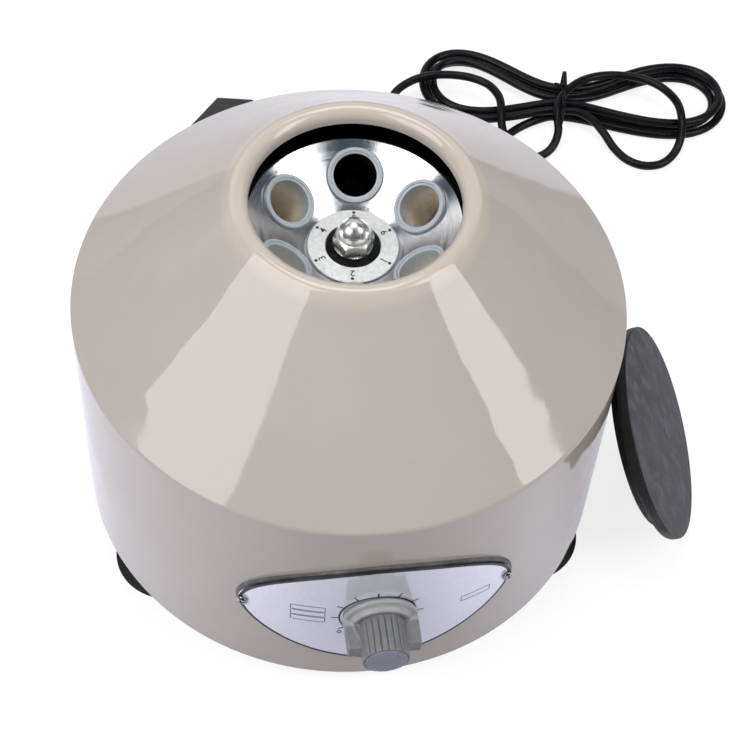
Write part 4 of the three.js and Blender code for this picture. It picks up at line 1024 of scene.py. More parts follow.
gloss_grey, tree, shader, spot = new_finish("grey_paint", Roughness=0.05, IOR=1.5)
painted = mottled(tree, spot, 16.0, (0.435, 0.392, 0.357), (0.415, 0.373, 0.340))
height = split(tree, moved(tree, spot, Location=-drum_axis))[2]
warm_rim = ranged(tree, height, mouth_height - 0.0065, mouth_height - 0.0025, 0.0, 0.75)
with_rim = mixed(tree, warm_rim, painted["Colour"], (0.50, 0.44, 0.375, 1))
motes = add_node(tree, "ShaderNodeTexVoronoi", {"Vector": spot, "Scale": 130.0}).outputs["Distance"]
sparse = ranged(tree, noise(tree, spot, 70.0), 0.6, 0.66)
shown_motes = maths(tree, "MULTIPLY", ranged(tree, motes, 0.045, 0.02), sparse)
cloudy = use_group(tree, grain, Position=spot, Scale=30.0)["Value"]
waves = noise(tree, spot, 22.0, Detail=2.0, Roughness=0.4)
peel = noise(tree, spot, 420.0, Detail=2.0, Roughness=0.5)
wavy = add_node(tree, "ShaderNodeBump", {"Strength": 1.0, "Distance": 0.0008, "Height": waves})
peel_inputs = {"Strength": 1.0, "Distance": 0.00001, "Height": peel, "Normal": wavy.outputs[0]}
wire(
    tree, shader, Base_Color=mixed(tree, shown_motes, with_rim, (0.62, 0.6, 0.57, 1)),
    Roughness=ranged(tree, cloudy, 0.0, 1.0, 0.04, 0.075),
    Normal=add_node(tree, "ShaderNodeBump", peel_inputs).outputs[0],
)
dress(housing, gloss_grey)
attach(housing, "stand")
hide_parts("housing")

# Rotor dish
# A spun, polished aluminium dish on the hub, with a round seat for each of the six tilted sleeves.
tube_count = 6
tube_tilt = math.radians(35)
tube_circle = 0.0343
tube_angle = -38
rotor_face = 0.1772
rotor_flat_radius = 0.021
dish_radius = 0.0489
dish_thickness = 0.002
dish_sag = 0.0009
dish_sag_steps = 24
dish_bore = 0.005
dish_steps = 240
sleeve_radius = 0.0113
sleeve_flange_radius = 0.01275
sleeve_stand = 0.0006
sleeve_flange_depth = 0.001
seat_low, seat_high = -0.02, 0.006
tube_slope = math.tan(tube_tilt)
dish_under = dish_thickness / math.cos(tube_tilt)


def dish_top(radius):
    """Height of the dish's straight cone at a radius."""
    return rotor_face + (radius - rotor_flat_radius) * tube_slope


def dish_face(radius):
    """Height of its polished face, which hangs a little below the straight cone."""
    share = (radius - rotor_flat_radius) / (dish_radius - rotor_flat_radius)
    return dish_top(radius) - dish_sag * 4 * share * (1 - share)


tube_turns = [
    on_drum @ Matrix.Rotation(math.radians(tube_angle - n * 360 / tube_count), 4, "Z") for n in range(tube_count)
]
tube_mouth = Vector((tube_circle, 0, dish_top(tube_circle) + sleeve_stand / math.cos(tube_tilt)))
tube_axes = [turn @ Matrix.Translation(tube_mouth) @ Matrix.Rotation(-tube_tilt, 4, "Y") for turn in tube_turns]
sagging = [dish_radius + (rotor_flat_radius - dish_radius) * k / dish_sag_steps for k in range(1, dish_sag_steps)]
dish_outline = rounded_outline([
    (dish_bore, rotor_face - dish_thickness, 0),
    (rotor_flat_radius + dish_thickness / 2, rotor_face - dish_thickness, 0.002),
    (dish_radius, dish_top(dish_radius) - dish_under, 0.0008),
    (dish_radius, dish_top(dish_radius), 0.0004),
    *((radius, dish_face(radius), 0) for radius in sagging),
    (rotor_flat_radius, rotor_face, 0.0004),
    (dish_bore, rotor_face, 0),
], arc_steps=5, longest=0.003)
dish = turned("rotor_dish_spun", dish_outline, dish_steps)
seat_step = -sleeve_flange_depth - joint_gap
seat_narrow, seat_wide = sleeve_radius + joint_gap, sleeve_flange_radius + joint_gap
seat_outline = [
    (0, seat_low), (seat_narrow, seat_low), (seat_narrow, seat_step),
    (seat_wide, seat_step), (seat_wide, seat_high), (0, seat_high),
]
cut(dish, *(turned("seat", seat_outline, 64, axis) for axis in tube_axes))

spun_aluminium, tree, shader, spot = new_finish("spun_aluminium", Roughness=0.12, Metallic=1.0)
shade = mottled(tree, spot, 70.0, (0.88, 0.89, 0.91), (0.8, 0.815, 0.84))
marks = use_group(tree, turned_marks, Position=moved(tree, spot, Location=-drum_axis), Pitch=5200.0)
wire(tree, shader, Base_Color=shade["Colour"], Roughness=ranged(tree, marks["Value"], 0.0, 1.0, 0.13, 0.24))
raise_grain(tree, shader, marks["Height"], 0.00004)
dress(dish, spun_aluminium)
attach(dish, "rotor")
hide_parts("rotor_dish")
dress(nodes["rotor_hub"], spun_aluminium)
dress(nodes["rotor_lower_cone"], black_paint)

# Tube sleeves
# Six moulded sleeves of cloudy plastic, dropped into the dish. They are closed below and have a rounded rim.
# One of them comes out by itself. Inside, each bore is painted cream a little below its lip for the light that
# falls in, and near black with painted shade further down. The camera looks straight down the loose one, so its
# painted shade starts at its lip.
sleeve_bore = 0.010
sleeve_wall = 0.0013
sleeve_length = 0.100
sleeve_rim = 0.0016
sleeve_groove = 0.0112
sleeve_bottom_round = 0.005
sleeve_steps = 72
free_sleeve = 5
free_sleeve_darker = 20
sleeve_outline = rounded_outline([
    (0, -sleeve_length, 0),
    (sleeve_radius, -sleeve_length, sleeve_bottom_round),
    (sleeve_radius, -sleeve_flange_depth, 0),
    (sleeve_flange_radius, -sleeve_flange_depth, 0.0003),
    (sleeve_flange_radius, sleeve_rim, 0.0006),
    (sleeve_groove, sleeve_rim, 0.0003),
    (sleeve_groove - 0.0003, sleeve_rim - 0.0007, 0.0001),
    (sleeve_bore, sleeve_rim - 0.0011, 0.0002),
    (sleeve_bore, sleeve_wall - sleeve_length, sleeve_bottom_round - sleeve_wall),
    (0, sleeve_wall - sleeve_length, 0),
], arc_steps=6, longest=0.004)


def measure(piece, name, place, value_at):
    """Stores value_at(radius, height) at each vertex of a placed piece, measured in its own frame."""
    values = piece.data.attributes.new(name, "FLOAT", "POINT")
    back = place.inverted()
    for vertex in piece.data.vertices:
        here = back @ vertex.co
        values.data[vertex.index].value = value_at(math.hypot(here.x, here.y), here.z)


def bore_depth(radius, height):
    """How deep a point lies inside a sleeve's bore, as 0 to 1."""
    return max(0, -height / sleeve_length) if radius < sleeve_bore + 0.0002 else 0


def dark_bore_depth(radius, height):
    """The same, many times deeper, for the loose sleeve, whose bore is painted dark with shade from its lip on."""
    return bore_depth(radius, height) * free_sleeve_darker


cloudy_plastic, tree, shader, spot = new_finish("sleeve_plastic", Roughness=0.3, IOR=1.49)
depth = add_node(tree, "ShaderNodeAttribute", attribute_name="depth").outputs["Fac"]
streaks = mottled(tree, spot, 75.0, (0.92, 0.87, 0.76), (0.82, 0.70, 0.55))
# Painted light: the bore wall turns cream a little below the lip. Painted shade: it turns near black deep down.
painted_lit_bore = mixed(tree, ranged(tree, depth, 0.005, 0.12), (0.40, 0.43, 0.455, 1), streaks["Colour"])
cloudy = use_group(tree, grain, Position=spot, Scale=160.0)["Value"]
wire(
    tree, shader, Base_Color=mixed(tree, ranged(tree, depth, 0.25, 0.38), painted_lit_bore, (0.02, 0.018, 0.015, 1)),
    Roughness=ranged(tree, cloudy, 0.0, 1.0, 0.24, 0.4),
)
raise_grain(tree, shader, cloudy, 0.00003)
for n, axis in enumerate(tube_axes, 1):
    sleeve = turned(f"sleeve_{n}", sleeve_outline, sleeve_steps, axis)
    measure(sleeve, "depth", axis, dark_bore_depth if n == free_sleeve else bore_depth)
    dress(sleeve, cloudy_plastic)
    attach(sleeve, "free_sleeve" if n == free_sleeve else "rotor")
    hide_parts(f"tube_sleeve_{n}")

# Number ring
# A flat satin aluminium ring. A printed dot and figure stand in line with each sleeve.
ring_base = rotor_face + joint_gap
ring_thickness = 0.0012
ring_outer = rotor_flat_radius - joint_gap
ring_inner = 0.0127
ring_top = ring_base + ring_thickness
ring_outline = rounded_outline([
    (ring_inner, ring_base, 0.0001),
    (ring_outer, ring_base, 0.0001),
    (ring_outer, ring_top, 0.00025),
    (ring_inner, ring_top, 0.0002),
], arc_steps=4, longest=0.002, guard=0.0001)
number_ring = turned("number_ring_satin", ring_outline, 180)
ring_satin = mottled_finish(
    "ring_aluminium", scale=420.0, light=(0.84, 0.84, 0.82), dark=(0.70, 0.70, 0.69), bump=0.00002,
    skin=1600.0, rough=(0.34, 0.5), Roughness=0.4, Metallic=0.5,
)
dress(number_ring, ring_satin)
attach(number_ring, "rotor")
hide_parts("number_ring")

black_ink = mottled_finish(
    "black_ink", scale=600.0, light=(0.012, 0.012, 0.013), dark=(0.035, 0.035, 0.038), bump=0.00001,
    Roughness=0.45, IOR=1.45,
)
ink_thickness = 0.00005
figure_height = 0.0047
figure_circle = 0.0159
figure_boldness = 0.00006
dot_sides = 24
dot_sizes = {"Dots": tube_count, "Circle": 0.0191, "Radius": 0.00078, "Depth": ink_thickness * 2}


def new_pattern(name, sizes):
    """A geometry tree with these sizes and a finish as its inputs. Its two end nodes come back too."""
    pattern = bpy.data.node_groups.new(name, "GeometryNodeTree")
    pattern.is_modifier = True
    for socket, value in sizes.items():
        kind = "NodeSocketInt" if isinstance(value, int) else "NodeSocketFloat"
        pattern.interface.new_socket(socket, in_out="INPUT", socket_type=kind).default_value = value
    pattern.interface.new_socket("Finish", in_out="INPUT", socket_type="NodeSocketMaterial")
    pattern.interface.new_socket("Geometry", in_out="OUTPUT", socket_type="NodeSocketGeometry")
    return pattern, add_node(pattern, "NodeGroupInput").outputs, add_node(pattern, "NodeGroupOutput")


def repeated(tree, points, shape, **settings):
    """The output of a shape that stands at each point, as plain geometry."""
    inputs = {"Points": points.outputs[0], "Instance": shape.outputs["Mesh"], **settings}
    copies = add_node(tree, "GeometryNodeInstanceOnPoints", inputs)
    return add_node(tree, "GeometryNodeRealizeInstances", {0: copies.outputs[0]}).outputs[0]


def made_from(name, pattern, sizes, finish, place):
    """A plain mesh piece made by a geometry tree with these sizes, then placed."""
    piece = add_object(name, bpy.data.meshes.new(name))
    made = piece.modifiers.new("pattern", "NODES")
    made.node_group = pattern
    for item in pattern.interface.items_tree:
        if item.in_out == "INPUT":
            made[item.identifier] = finish if item.name == "Finish" else sizes[item.name]
    apply_modifiers(piece)
    piece.data.transform(place)
    piece.data.name = name
    return piece


tree, given, result = new_pattern("ring_dots", dot_sizes)
spots = add_node(tree, "GeometryNodeMeshCircle", {"Vertices": given["Dots"], "Radius": given["Circle"]})
dot_inputs = {"Vertices": dot_sides, "Radius": given["Radius"], "Depth": given["Depth"]}
dots = repeated(tree, spots, add_node(tree, "GeometryNodeMeshCylinder", dot_inputs))
painted = add_node(tree, "GeometryNodeSetMaterial", {"Geometry": dots, "Material": given["Finish"]})
wire(tree, result, Geometry=painted.outputs[0])
at_dots = on_drum @ Matrix.Translation((0, 0, ring_top)) @ Matrix.Rotation(math.radians(tube_angle), 4, "Z")
ring_dots = made_from("ring_dots", tree, dot_sizes, black_ink, at_dots)
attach(ring_dots, "rotor")

figures = []
for n, turn in enumerate(tube_turns, 1):
    text = bpy.data.curves.new(f"figure_{n}", "FONT")
    text.body = str(n)
    text.size = figure_height
    text.align_x = "CENTER"
    text.align_y = "CENTER"
    text.extrude = ink_thickness
    text.offset = figure_boldness
    text.resolution_u = 6
    shown = add_object(f"figure_{n}", text)
    mesh = bpy.data.meshes.new_from_object(shown.evaluated_get(bpy.context.evaluated_depsgraph_get()))
    bpy.data.objects.remove(shown)
    mesh.transform(turn @ Matrix.Translation((figure_circle, 0, ring_top)) @ Matrix.Rotation(-math.pi / 2, 4, "Z"))
    figures.append(dress(add_object(f"figure_{n}", mesh), black_ink))
figures = joined("ring_figures", *figures)
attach(figures, "rotor")

# Washer and cap nut
# A black rubber washer and a nickel-plated domed hex nut hold the rotor down on the motor's shaft.
washer_radius = 0.0124
washer_thickness = 0.0012
washer_top = ring_base + washer_thickness
spindle_hole = 0.005
nut_across = 0.0164
nut_flange = 0.001
nut_flange_radius = 0.0089
nut_hex_height = 0.0064
nut_chamfer = 0.001
nut_dome_radius = 0.0071
nut_dome_start = math.radians(15)
nut_neck = 0.0016
nut_bore_depth = 0.010
nut_turn = math.radians(tube_angle + 8)

washer_outline = rounded_outline([
    (spindle_hole, ring_base, 0.0002),
    (washer_radius, ring_base, 0.0002),
    (washer_radius, washer_top, 0.0004),
    (spindle_hole, washer_top, 0.0002),
], arc_steps=4)
washer = turned("washer_black", washer_outline, 96)
washer_black = mottled_finish(
    "washer_rubber", scale=300.0, light=(0.006, 0.006, 0.0065), dark=(0.012, 0.012, 0.0125), bump=0.00001,
    rough=(0.26, 0.34), Roughness=0.3, IOR=1.18,
)
dress(washer, washer_black)
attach(washer, "rotor")
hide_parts("rubber_washer")

nut_bottom = washer_top + joint_gap
hex_bottom = nut_bottom + nut_flange
hex_top = hex_bottom + nut_hex_height
hex_corner = nut_across / math.sqrt(3)


def flatted(radius, height, angle):
    """Cuts the nut's six flats into its round outline, below the dome."""
    if height > hex_top + 1e-6 or height < hex_bottom - 1e-6 or radius <= spindle_hole + 1e-6:
        return radius
    off_flat = (angle + math.pi / 6) % (math.pi / 3) - math.pi / 6
    return min(radius, nut_across / 2 / math.cos(off_flat))


dome = arc(0, hex_top + nut_neck, nut_dome_radius, nut_dome_start, math.pi / 2, 12)
nut_outline = rounded_outline([
    (spindle_hole, nut_bottom, 0),
    (nut_flange_radius, nut_bottom, 0.0003),
    (nut_flange_radius, hex_bottom - 0.0001, 0),
    (hex_corner, hex_bottom + nut_chamfer / 2, 0),
    (hex_corner, hex_top - nut_chamfer, 0),
    (nut_dome_radius + 0.0008, hex_top, 0.0003),
    (nut_dome_radius, hex_top + 0.0002, 0),
    *dome[:-1],
    (0, dome[-1][1], 0),
    (0, nut_bottom + nut_bore_depth, 0),
    (spindle_hole, nut_bottom + nut_bore_depth, 0),
], arc_steps=4, longest=0.0008, guard=0.0001)
cap_nut = turned("cap_nut_nickel", nut_outline, 144, on_drum @ Matrix.Rotation(nut_turn, 4, "Z"), flatted)
nickel = mottled_finish(
    "nickel_plate", scale=330.0, light=(0.80, 0.80, 0.77), dark=(0.52, 0.52, 0.48), bump=0.00002, skin=520.0,
    rough=(0.24, 0.42), worn=(0.1, (0.9, 0.9, 0.88)), Roughness=0.2, Metallic=1.0,
)
dress(cap_nut, nickel)
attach(cap_nut, "rotor")
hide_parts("cap_nut")

# Plate backing
# A dark grey oval packing sheet between the drum and the plate. It shows as a narrow rim round the plate.
plate_half_width = 0.0646
plate_half_height = 0.0419
plate_fullness = 1.75
plate_margin = 0.0009
plate_thickness = 0.0008
oval_steps = 160
oval_rows = 22


def on_oval(margin, share):
    """A point of the plate's oval, whose ends are a little more pointed than an ellipse's."""
    turn = full_turn * share
    along, up = (math.copysign(abs(s) ** (2 / plate_fullness), s) for s in (math.cos(turn), math.sin(turn)))
    return Vector(((plate_half_width - margin) * along, (plate_half_height - margin) * up))


def on_bend(flat, bend):
    """Where a flat point of the plate comes to lie, bent round the drum's axis."""
    return on_drum @ Vector((flat.x, -math.sqrt(bend**2 - flat.x**2), panel_height + flat.y))


def bent_oval(name, margin, face_radius, depth):
    """An oval sheet bent round the drum's axis, with holes for the dial's bush and the two screws."""
    shares = [k / oval_rows for k in range(oval_rows + 1)]
    layers = [(face_radius, share) for share in shares] + [(face_radius - depth, 1 - share) for share in shares]
    vertices = []
    for bend, share in layers:
        for k in range(oval_steps):
            near = polar(bush_hole, full_turn * k / oval_steps).to_2d()
            vertices.append(on_bend(near.lerp(on_oval(margin, k / oval_steps), share), bend))
    return cut(add_mesh(name, vertices, ring_faces(len(layers), oval_steps, True)), *screw_rods())


backing = bent_oval("backing_grey", 0, plate_bend, plate_stand - joint_gap)
dress(backing, dark_plastic)
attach(backing, "stand")
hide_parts("plate_backing")

# Nameplate
# A thin oval of satin aluminium, printed in black with a border, the dial and a few empty frames. Its upward-facing
# top edge is painted near black with painted shade.
plate_face = plate_bend + joint_gap + plate_thickness
plate = bent_oval("plate_satin", plate_margin, plate_face, plate_thickness)
satin, tree, shader, spot = new_finish("plate_aluminium", Roughness=0.13, Metallic=0.42)
brushed = use_group(tree, grain, Position=moved(tree, spot, Scale=(30, 30, 900)), Scale=3.0)["Value"]
tone = mottled(tree, spot, 500.0, (0.80, 0.81, 0.87), (0.76, 0.77, 0.83))
# Painted shade: the faces of the plate that look upward, along its top edge, turn near black.
upward = split(tree, add_node(tree, "ShaderNodeNewGeometry").outputs["Normal"])[2]
wire(
    tree, shader,
    Base_Color=mixed(tree, ranged(tree, upward, 0.25, 0.5), tone["Colour"], (0.03, 0.03, 0.033, 1)),
    Roughness=ranged(tree, brushed, 0.0, 1.0, 0.1, 0.14),
)
raise_grain(tree, shader, brushed, 0.0000015)
dress(plate, satin)
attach(plate, "stand")
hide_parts("nameplate")

border_inset = 0.0007
border_width = 0.0014
border_steps = 200
dial_middle = Vector((-0.001, 0))
dial_radius = 0.0177
dial_width = 0.00085
zero_middle = Vector((-0.0183, -0.0145))
zero_width = 0.0005
frame_width = 0.0004
frame_step = 0.002
box_left, box_right = -0.0406, -0.0252
box_tall, box_pitch, box_top = 0.0039, 0.0048, 0.0075
tick_sizes = {
    "Ticks": 8, "First": 213.0, "Step": -30.4, "Inner": dial_radius, "Outer": 0.0214, "Width": 0.00065,
    "Aside": dial_middle.x, "Bend": plate_face,
}


def inked_line(name, path, width):
    """A closed printed line along flat points of the plate, as a thin raised strip that follows the bend."""
    vertices = []
    for before, here, after in zip(path[-1:] + path[:-1], path, path[1:] + path[:1]):
        along = (after - before).normalized()
        aside = Vector((-along.y, along.x)) * width / 2
        vertices += [on_bend(flat, plate_face + ink_thickness) for flat in (here - aside, here + aside)]
        vertices += [on_bend(flat, plate_face) for flat in (here + aside, here - aside)]
    return dress(add_mesh(name, vertices, ring_faces(len(path), 4, True)), black_ink)


def ellipse(middle, across, up, count):
    """Flat points round an ellipse."""
    turns = (full_turn * k / count for k in range(count))
    return [middle + Vector((across * math.cos(turn), up * math.sin(turn))) for turn in turns]


def frame_line(name, corners):
    """A printed frame with straight sides."""
    path = []
    for here, after in zip(map(Vector, corners), map(Vector, corners[1:] + corners[:1])):
        count = max(round((after - here).length / frame_step), 1)
        path += [here.lerp(after, k / count) for k in range(count)]
    return inked_line(name, path, frame_width)


border = [on_oval(plate_margin + border_inset, (k + 0.5) / border_steps) for k in range(border_steps)]
prints = [
    inked_line("border", border, border_width),
    inked_line("dial", ellipse(dial_middle, dial_radius, dial_radius, 120), dial_width),
    inked_line("zero", ellipse(zero_middle, 0.00085, 0.0013, 28), zero_width),
]
for row in range(3):
    high = box_top - row * box_pitch
    prints.append(frame_line(f"frame_{row}", rectangle(box_left, high, box_right, high - box_tall)))
prints.append(frame_line("rating_frame", rectangle(0.0389, -0.0002, 0.0530, -0.0044)))


def combined(tree, *parts):
    """The output of a vector made from its X, Y and Z."""
    return add_node(tree, "ShaderNodeCombineXYZ", dict(enumerate(parts))).outputs[0]


tree, given, result = new_pattern("dial_ticks", tick_sizes)
outer, inner = given["Outer"], given["Inner"]
bar_size = combined(tree, maths(tree, "SUBTRACT", outer, inner), given["Width"], ink_thickness * 2)
bar_inputs = {"Size": bar_size, "Vertices X": 4, "Vertices Y": 2, "Vertices Z": 2}
bar = add_node(tree, "GeometryNodeMeshCube", bar_inputs)
index = add_node(tree, "GeometryNodeInputIndex").outputs[0]
turn = maths(tree, "RADIANS", maths(tree, "MULTIPLY_ADD", index, given["Step"], given["First"]))
middle = maths(tree, "MULTIPLY", maths(tree, "ADD", outer, inner), 0.5)
tick_x = maths(tree, "MULTIPLY", maths(tree, "COSINE", turn), middle)
tick_y = maths(tree, "MULTIPLY", maths(tree, "SINE", turn), middle)
line = add_node(tree, "GeometryNodeMeshLine", {"Count": given["Ticks"]})
spots_inputs = {"Geometry": line.outputs[0], "Position": combined(tree, tick_x, tick_y)}
spots = add_node(tree, "GeometryNodeSetPosition", spots_inputs)
bars = repeated(tree, spots, bar, Rotation=combined(tree, 0.0, 0.0, turn))
x, y, z = split(tree, add_node(tree, "GeometryNodeInputPosition").outputs[0])
bend_squared = maths(tree, "POWER", given["Bend"], 2.0)
x_squared = maths(tree, "POWER", maths(tree, "ADD", x, given["Aside"]), 2.0)
out = maths(tree, "SQRT", maths(tree, "SUBTRACT", bend_squared, x_squared))
wrapped_inputs = {"Geometry": bars, "Position": combined(tree, x, y, maths(tree, "ADD", out, z))}
wrapped = add_node(tree, "GeometryNodeSetPosition", wrapped_inputs)
painted = add_node(tree, "GeometryNodeSetMaterial", {"Geometry": wrapped.outputs[0], "Material": given["Finish"]})
wire(tree, result, Geometry=painted.outputs[0])
ticks = made_from("ticks", tree, tick_sizes, black_ink, on_panel @ Matrix.Translation(dial_middle.to_3d()))
plate_print = joined("plate_print", *prints, ticks)
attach(plate_print, "stand")

# Plate screws
# Two chromed pan-head screws with crossed slots, one at each end of the oval.
screw_shank = 0.0016
screw_head = 0.0027
screw_head_height = 0.0018
screw_length = 0.007
screw_slot = 0.0007
screw_seat = plate_face + joint_gap
screw_crown_radius = screw_head * 0.62
screw_outline = rounded_outline([
    (0, screw_seat - screw_length, 0),
    (screw_shank, screw_seat - screw_length, 0.0003),
    (screw_shank, screw_seat, 0),
    (screw_head, screw_seat, 0.0002),
    (screw_head, screw_seat + screw_head_height * 0.45, 0.0005),
    (screw_crown_radius, screw_seat + screw_head_height * 0.93, 0.001),
    (0, screw_seat + screw_head_height, 0),
], arc_steps=5, longest=0.001, guard=0.0001)
chrome = mottled_finish(
    "chrome", scale=700.0, light=(0.46, 0.46, 0.45), dark=(0.30, 0.30, 0.29), bump=0.00001, rough=(0.08, 0.2),
    Roughness=0.12, Metallic=1.0,
)
slot_outline = rectangle(-screw_crown_radius, -screw_slot / 2, screw_crown_radius, screw_slot / 2)
slot_floor, slot_high = screw_seat + screw_head_height * 0.35, screw_seat + 0.004
for n, axis in enumerate(screw_axes, 1):
    screw = turned(f"pan_screw_{n}", screw_outline, 64, axis)
    lays = [axis @ Matrix.Rotation(math.radians(turn), 4, "Z") for turn in (20, 110)]
    cut(screw, *(raised_shape("slot", slot_outline, slot_floor, slot_high, lay) for lay in lays))
    dress(screw, chrome)
    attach(screw, "stand")
    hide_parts(f"plate_screw_{n}")

# Speed knob
# A mid-grey moulded knob with a round skirt, a ribbed barrel and two flat wings. A blue-grey cap closes its end.
knob_low, knob_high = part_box("speed_knob")
knob_back = -(knob_high.y - drum_axis.y)
knob_front = -(knob_low.y - drum_axis.y)
knob_skirt_radius = 0.0175
knob_skirt_height = 0.0026
knob_shoulder_radius = 0.0137
knob_shoulder_height = 0.0052
knob_barrel_radius = 0.0111
knob_ribs = 22
knob_rib_depth = 0.0009
knob_rib_steps = 16
knob_wing_root = knob_barrel_radius - 0.003
knob_wing_tip = 0.017
knob_wing_half = 0.004
knob_wing_back = knob_back + knob_skirt_height / 2
knob_wing_front = knob_front - 0.0055
knob_wing_round = 0.0008
knob_cap_radius = 0.0098
knob_cap_seat_radius = knob_cap_radius + 0.0002
knob_cap_seat = knob_front - 0.0009
knob_bore = 0.0033
knob_skirt = knob_back + knob_skirt_height
knob_shoulder = knob_back + knob_shoulder_height


def ribbed(radius, height, angle):
    """Cuts grooves down the knob's barrel."""
    if radius < knob_barrel_radius - 0.0006 or height < knob_shoulder:
        return radius
    across = (angle * knob_ribs / full_turn + 0.25) % 1
    groove = max(0, 1 - abs(across - 0.5) / 0.18)
    eased = groove * groove * (3 - 2 * groove)
    return radius - knob_rib_depth * min(1, eased * 1.4)


knob_outline = rounded_outline([
    (knob_bore, knob_back, 0),
    (knob_skirt_radius, knob_back, 0.0003),
    (knob_skirt_radius, knob_back + knob_skirt_height * 0.7, 0.0008),
    (knob_shoulder_radius + 0.0012, knob_skirt, 0.0016),
    (knob_shoulder_radius, knob_shoulder - 0.0004, 0.0007),
    (knob_shoulder_radius - 0.0014, knob_shoulder - 0.0004, 0.0005),
    (knob_barrel_radius, knob_shoulder - 0.0014, 0.0004),
    (knob_barrel_radius, knob_front, 0.0007),
    (knob_cap_seat_radius, knob_front, 0.0001),
    (knob_cap_seat_radius, knob_cap_seat, 0),
    (knob_bore, knob_cap_seat, 0),
], arc_steps=5, longest=0.0015, guard=0.00015)
knob = turned("knob_grey", knob_outline, knob_ribs * knob_rib_steps, on_panel, ribbed)
wings = []
for side in (-1, 1):
    outline = rectangle(side * knob_wing_root, -knob_wing_half, side * knob_wing_tip, knob_wing_half)
    wing = raised_shape("wing", outline, knob_wing_back, knob_wing_front, on_panel, knob_wing_round, edge_steps=4)
    wings.append(wing)
cut(knob, *wings, operation="UNION", sharp=40)

knob_grey, tree, shader, spot = new_finish("knob_plastic", Roughness=0.42, IOR=1.48)
shade = mottled(tree, spot, 150.0, (0.18, 0.18, 0.184), (0.15, 0.15, 0.154))
knob_spot = moved(tree, spot, Location=-on_panel.to_translation())
flat = add_node(tree, "ShaderNodeVectorMath", {0: knob_spot, 1: (1, 0, 1)}, operation="MULTIPLY").outputs[0]
from_axis = add_node(tree, "ShaderNodeVectorMath", {0: flat}, operation="LENGTH").outputs["Value"]
near_back = ranged(tree, split(tree, knob_spot)[1], -knob_shoulder - 0.001, -knob_shoulder + 0.001)
skirt = maths(tree, "MULTIPLY", ranged(tree, from_axis, 0.0112, 0.0122), near_back)
toned = mixed(tree, skirt, shade["Colour"], (0.34, 0.34, 0.345, 1))
paled = mixed(tree, use_group(tree, edge_wear, Reach=0.12)["Mask"], toned, (0.3, 0.3, 0.31, 1))
chalky = use_group(tree, dust, Position=spot, Scale=700.0, Amount=0.25)["Mask"]
skin = use_group(tree, grain, Position=spot, Scale=900.0)["Value"]
wire(
    tree, shader, Base_Color=mixed(tree, chalky, paled, (0.42, 0.42, 0.42, 1)),
    Roughness=ranged(tree, skin, 0.0, 1.0, 0.34, 0.48),
)
raise_grain(tree, shader, skin, 0.00003)
dress(knob, knob_grey)
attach(knob, "knob")
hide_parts("speed_knob")

cap_outline = rounded_outline([
    (0, knob_cap_seat + joint_gap, 0),
    (knob_cap_radius, knob_cap_seat + joint_gap, 0),
    (knob_cap_radius, knob_front + joint_gap, 0.0003),
    (knob_cap_radius * 0.93, knob_front + 0.00055, 0.0005),
    (0, knob_front + 0.0006, 0),
], arc_steps=4, longest=0.001, guard=0.0001)
cap = turned("knob_cap_blue", cap_outline, 96, on_panel)
cap_blue, tree, shader, spot = new_finish("knob_cap_plastic", Roughness=0.3, IOR=1.5)
shade = mottled(tree, spot, 120.0, (0.23, 0.23, 0.285), (0.20, 0.20, 0.25))
faced = moved(tree, spot, Location=on_panel.inverted().to_translation(), Rotation=(-math.pi / 2, 0, 0))
marks = use_group(tree, turned_marks, Position=faced, Pitch=6000.0)
wire(tree, shader, Base_Color=shade["Colour"], Roughness=ranged(tree, marks["Value"], 0.0, 1.0, 0.24, 0.36))
raise_grain(tree, shader, marks["Height"], 0.000006)
dress(cap, cap_blue)
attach(cap, "knob")
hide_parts("knob_cap")
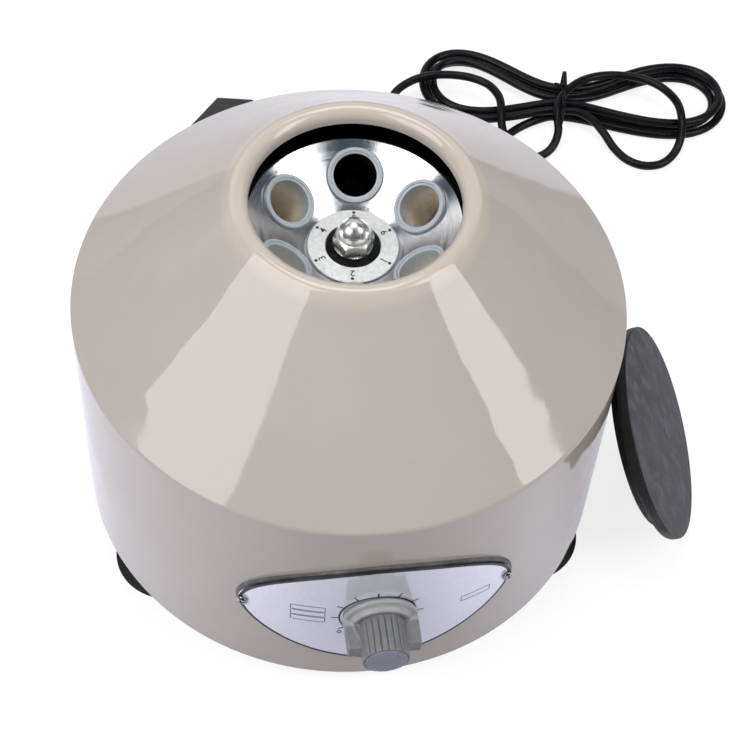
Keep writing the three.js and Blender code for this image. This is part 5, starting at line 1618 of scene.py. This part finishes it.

# Lid
# A thick disc of grey-black rubber with a plug step on its underside. It leans on the drum on its rim, and
# its outer face is scuffed and dusty. Its rim and plug step are painted near black: the rubber's own black
# together with painted shade.
lid_radius = 0.0545
lid_lean = math.radians(27)
lid_angle = math.radians(-11.84)
lid_face_angle = math.radians(-10.35)
lid_half = 0.003
lid_dome = 0.0026
lid_dome_inset = 0.003
lid_edge_round = 0.0007
lid_plug_clearance = 0.0008
lid_plug_depth = 0.005
lid_plug_chamfer = 0.0015
lid_arc_steps = 12
lid_plug_radius = mouth_radius - lid_plug_clearance
lid_plug_low = -lid_half - lid_plug_depth
lid_plug_reach = (lid_plug_radius - lid_plug_chamfer) * math.sin(lid_lean) - lid_plug_low * math.cos(lid_lean)
lid_out = drum_radius + lid_plug_reach + joint_gap
lid_height = lid_half + (lid_radius - lid_half) * math.cos(lid_lean) + joint_gap
dome_radius = (lid_radius**2 + lid_dome**2) / (2 * lid_dome)
at_lid = (
    on_drum
    @ Matrix.Translation(polar(lid_out, lid_angle, lid_height))
    @ Matrix.Rotation(lid_face_angle, 4, "Z")
    @ Matrix.Rotation(math.pi / 2 - lid_lean, 4, "Y")
)
domed = [(lid_radius - lid_dome_inset) * k / lid_arc_steps for k in range(lid_arc_steps, -1, -1)]
lid_outline = rounded_outline([
    (0, lid_plug_low, 0),
    (lid_plug_radius, lid_plug_low, 0.0016),
    (lid_plug_radius, -lid_half, 0.0006),
    *arc(lid_radius - lid_half, 0, lid_half, -math.pi / 2, 0, lid_arc_steps),
    (lid_radius, lid_half, lid_edge_round),
    *((radius, lid_half + lid_dome - dome_radius + math.sqrt(dome_radius**2 - radius**2), 0) for radius in domed),
], arc_steps=5)
lid = turned("lid_rubber_disc", lid_outline, 192, at_lid)


def outer_face(radius, height):
    """1 on the lid's scuffed outer face, and 0 on its rim and plug step, which are painted near black with painted
    shade.
    """
    return 1 if radius / lid_radius < 0.995 and height > lid_half * 0.9 else 0


measure(lid, "worn", at_lid, outer_face)
scuffed_rubber, tree, shader, spot = new_finish("lid_rubber", Roughness=0.62, IOR=1.5)
face = add_node(tree, "ShaderNodeAttribute", attribute_name="worn").outputs["Fac"]
rubbed = mottled(tree, spot, 55.0, (0.024, 0.0235, 0.026), (0.074, 0.071, 0.079))
streaked = moved(tree, spot, Rotation=(0.4, 0.5, 0), Scale=(1, 1, 0.35))
smears = use_group(tree, grain, Position=streaked, Scale=150.0, Low=0.42, High=0.75)["Value"]
scraped = mixed(tree, smears, rubbed["Colour"], (0.095, 0.092, 0.1, 1))
# The rim and plug step are near black: the rubber's own black and painted shade together.
wire(
    tree, shader, Base_Color=mixed(tree, face, (0.005, 0.005, 0.0055, 1), scraped),
    Roughness=ranged(tree, rubbed["Value"], 0.0, 1.0, 0.5, 0.7),
)
raise_grain(tree, shader, use_group(tree, grain, Position=spot, Scale=650.0)["Value"], 0.0001)
dress(lid, scuffed_rubber)
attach(lid, "lid")
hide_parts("lid")
